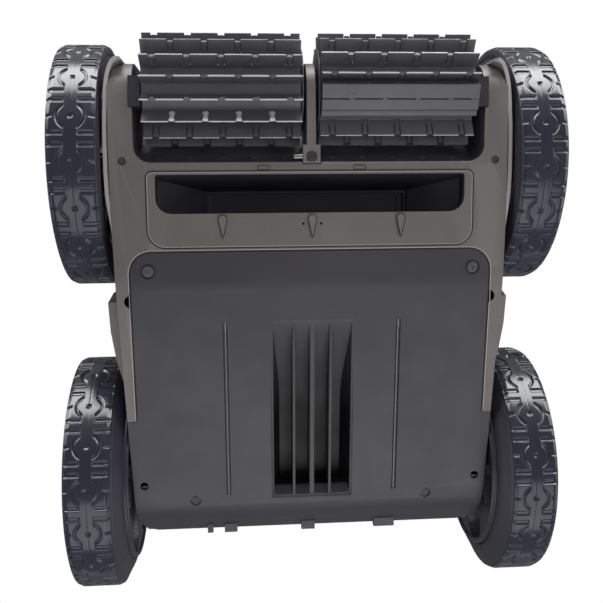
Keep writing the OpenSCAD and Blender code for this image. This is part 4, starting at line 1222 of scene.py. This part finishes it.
# Studio walls as reflections show them: a bright band round the horizon, dark below
MIRRORED = [(0.0, 0.10), (0.33, 0.14), (0.37, 2.6), (0.5, 3.0), (0.58, 2.6), (0.64, 0.20), (1.0, 0.12)]
FRONT_GAIN = 4.0              # the windows ahead of the robot are this much brighter
# The same walls as they light matt surfaces
SPREAD = [(0.0, 0.30), (0.35, 0.34), (0.40, 0.75), (0.60, 0.75), (0.66, 0.6), (1.0, 0.5)]


def world():
    """Pale studio walls, plain white where the camera sees them."""
    sky = bpy.data.worlds.new("studio")
    bpy.context.scene.world = sky
    sky.use_nodes = True
    tree = sky.node_tree
    background = tree.nodes["Background"]
    split = tree.nodes.new("ShaderNodeSeparateXYZ")
    tree.links.new(add_node(tree, "ShaderNodeTexCoord", "Generated"), split.inputs[0])
    up, back = split.outputs["Z"], split.outputs["Y"]
    height = map_range(tree, up, -1, 1, 0, 1)
    seen = tree.nodes.new("ShaderNodeLightPath")
    colour = level_ramp(tree, height, SPREAD)
    mirrored = level_ramp(tree, height, MIRRORED)
    for ray, other in (("Is Glossy Ray", mirrored), ("Is Camera Ray", grey(1))):
        colour = add_node(tree, "ShaderNodeMix", "Result",
                          {"Factor": seen.outputs[ray], "A": colour, "B": other}, data_type="RGBA")
    tree.links.new(colour, background.inputs["Color"])

    def combined(operation, first, second):
        return add_node(tree, "ShaderNodeMath", 0, {0: first, 1: second}, operation=operation)

    # reflections see bright windows in front, and a dark wall behind up to just over the horizon
    front = map_range(tree, back, -0.45, -0.8, 0.0, FRONT_GAIN - 1)
    behind = map_range(tree, back, 0.3, 0.6, 0.0, 0.96)
    wall = combined("MULTIPLY", behind, map_range(tree, up, 0.3, 0.15, 0.0, 1.0))
    gain = combined("MULTIPLY", combined("ADD", front, 1.0), combined("SUBTRACT", 1.0, wall))
    change = combined("MULTIPLY", combined("SUBTRACT", gain, 1.0), seen.outputs["Is Glossy Ray"])
    strength = combined("MULTIPLY", combined("ADD", change, 1.0), BRIGHTEST)
    tree.links.new(strength, background.inputs["Strength"])


FLOOR_HALF = 6.0              # in metres


def floor():
    """A pale floor under the wheels, seen only from above, so that the underside can be looked at."""
    mesh = bpy.data.meshes.new("floor")
    bm = bmesh.new()
    turns = ((-1, -1), (1, -1), (1, 1), (-1, 1))
    bm.faces.new([bm.verts.new((x * FLOOR_HALF, y * FLOOR_HALF, 0)) for x, y in turns])
    bm.to_mesh(mesh)
    bm.free()
    ground = bpy.data.objects.new("floor", mesh)
    bpy.context.scene.collection.objects.link(ground)
    finish = Finish("pale_floor", srgb(226, 226, 224), 0.6)
    finish.mottled(3, srgb(220, 220, 218), 0.4)
    finish.bump(finish.noise(60, 3.0), 0.1, 0.0005)
    tree = finish.tree
    from_below = add_node(tree, "ShaderNodeNewGeometry", "Backfacing")
    clear = add_node(tree, "ShaderNodeBsdfTransparent", 0)
    mix = add_node(tree, "ShaderNodeMixShader", 0,
                   {0: from_below, 1: finish.shader.outputs[0], 2: clear})
    tree.links.new(mix, tree.nodes["Material Output"].inputs["Surface"])
    mesh.materials.append(finish.material)
    for flag in ("visible_diffuse", "visible_glossy", "visible_transmission", "visible_shadow"):
        setattr(ground, flag, False)


def lights():
    softbox("below", (0.35, -0.35, -1.5), (0, 0, 0.05), (1.2, 1.2), 11, False)
    softbox("below_rear", (0.1, 1.0, -1.1), (0, 0.05, 0.05), (1.5, 1.4), 12, True)
    softbox("above", (-0.6, -0.8, 1.8), (0, 0, 0.1), (1.4, 1.4), 40, False)
    softbox("above_rear", (0.9, 1.2, 1.4), (0, 0, 0.1), (1.0, 1.0), 18, False)
    bpy.context.scene.view_settings.view_transform = "Standard"


camera()
world()
floor()
lights()
wheels()
for roller_side in SIDES:
    roller(roller_side)
underside_parts()
remaining_parts()
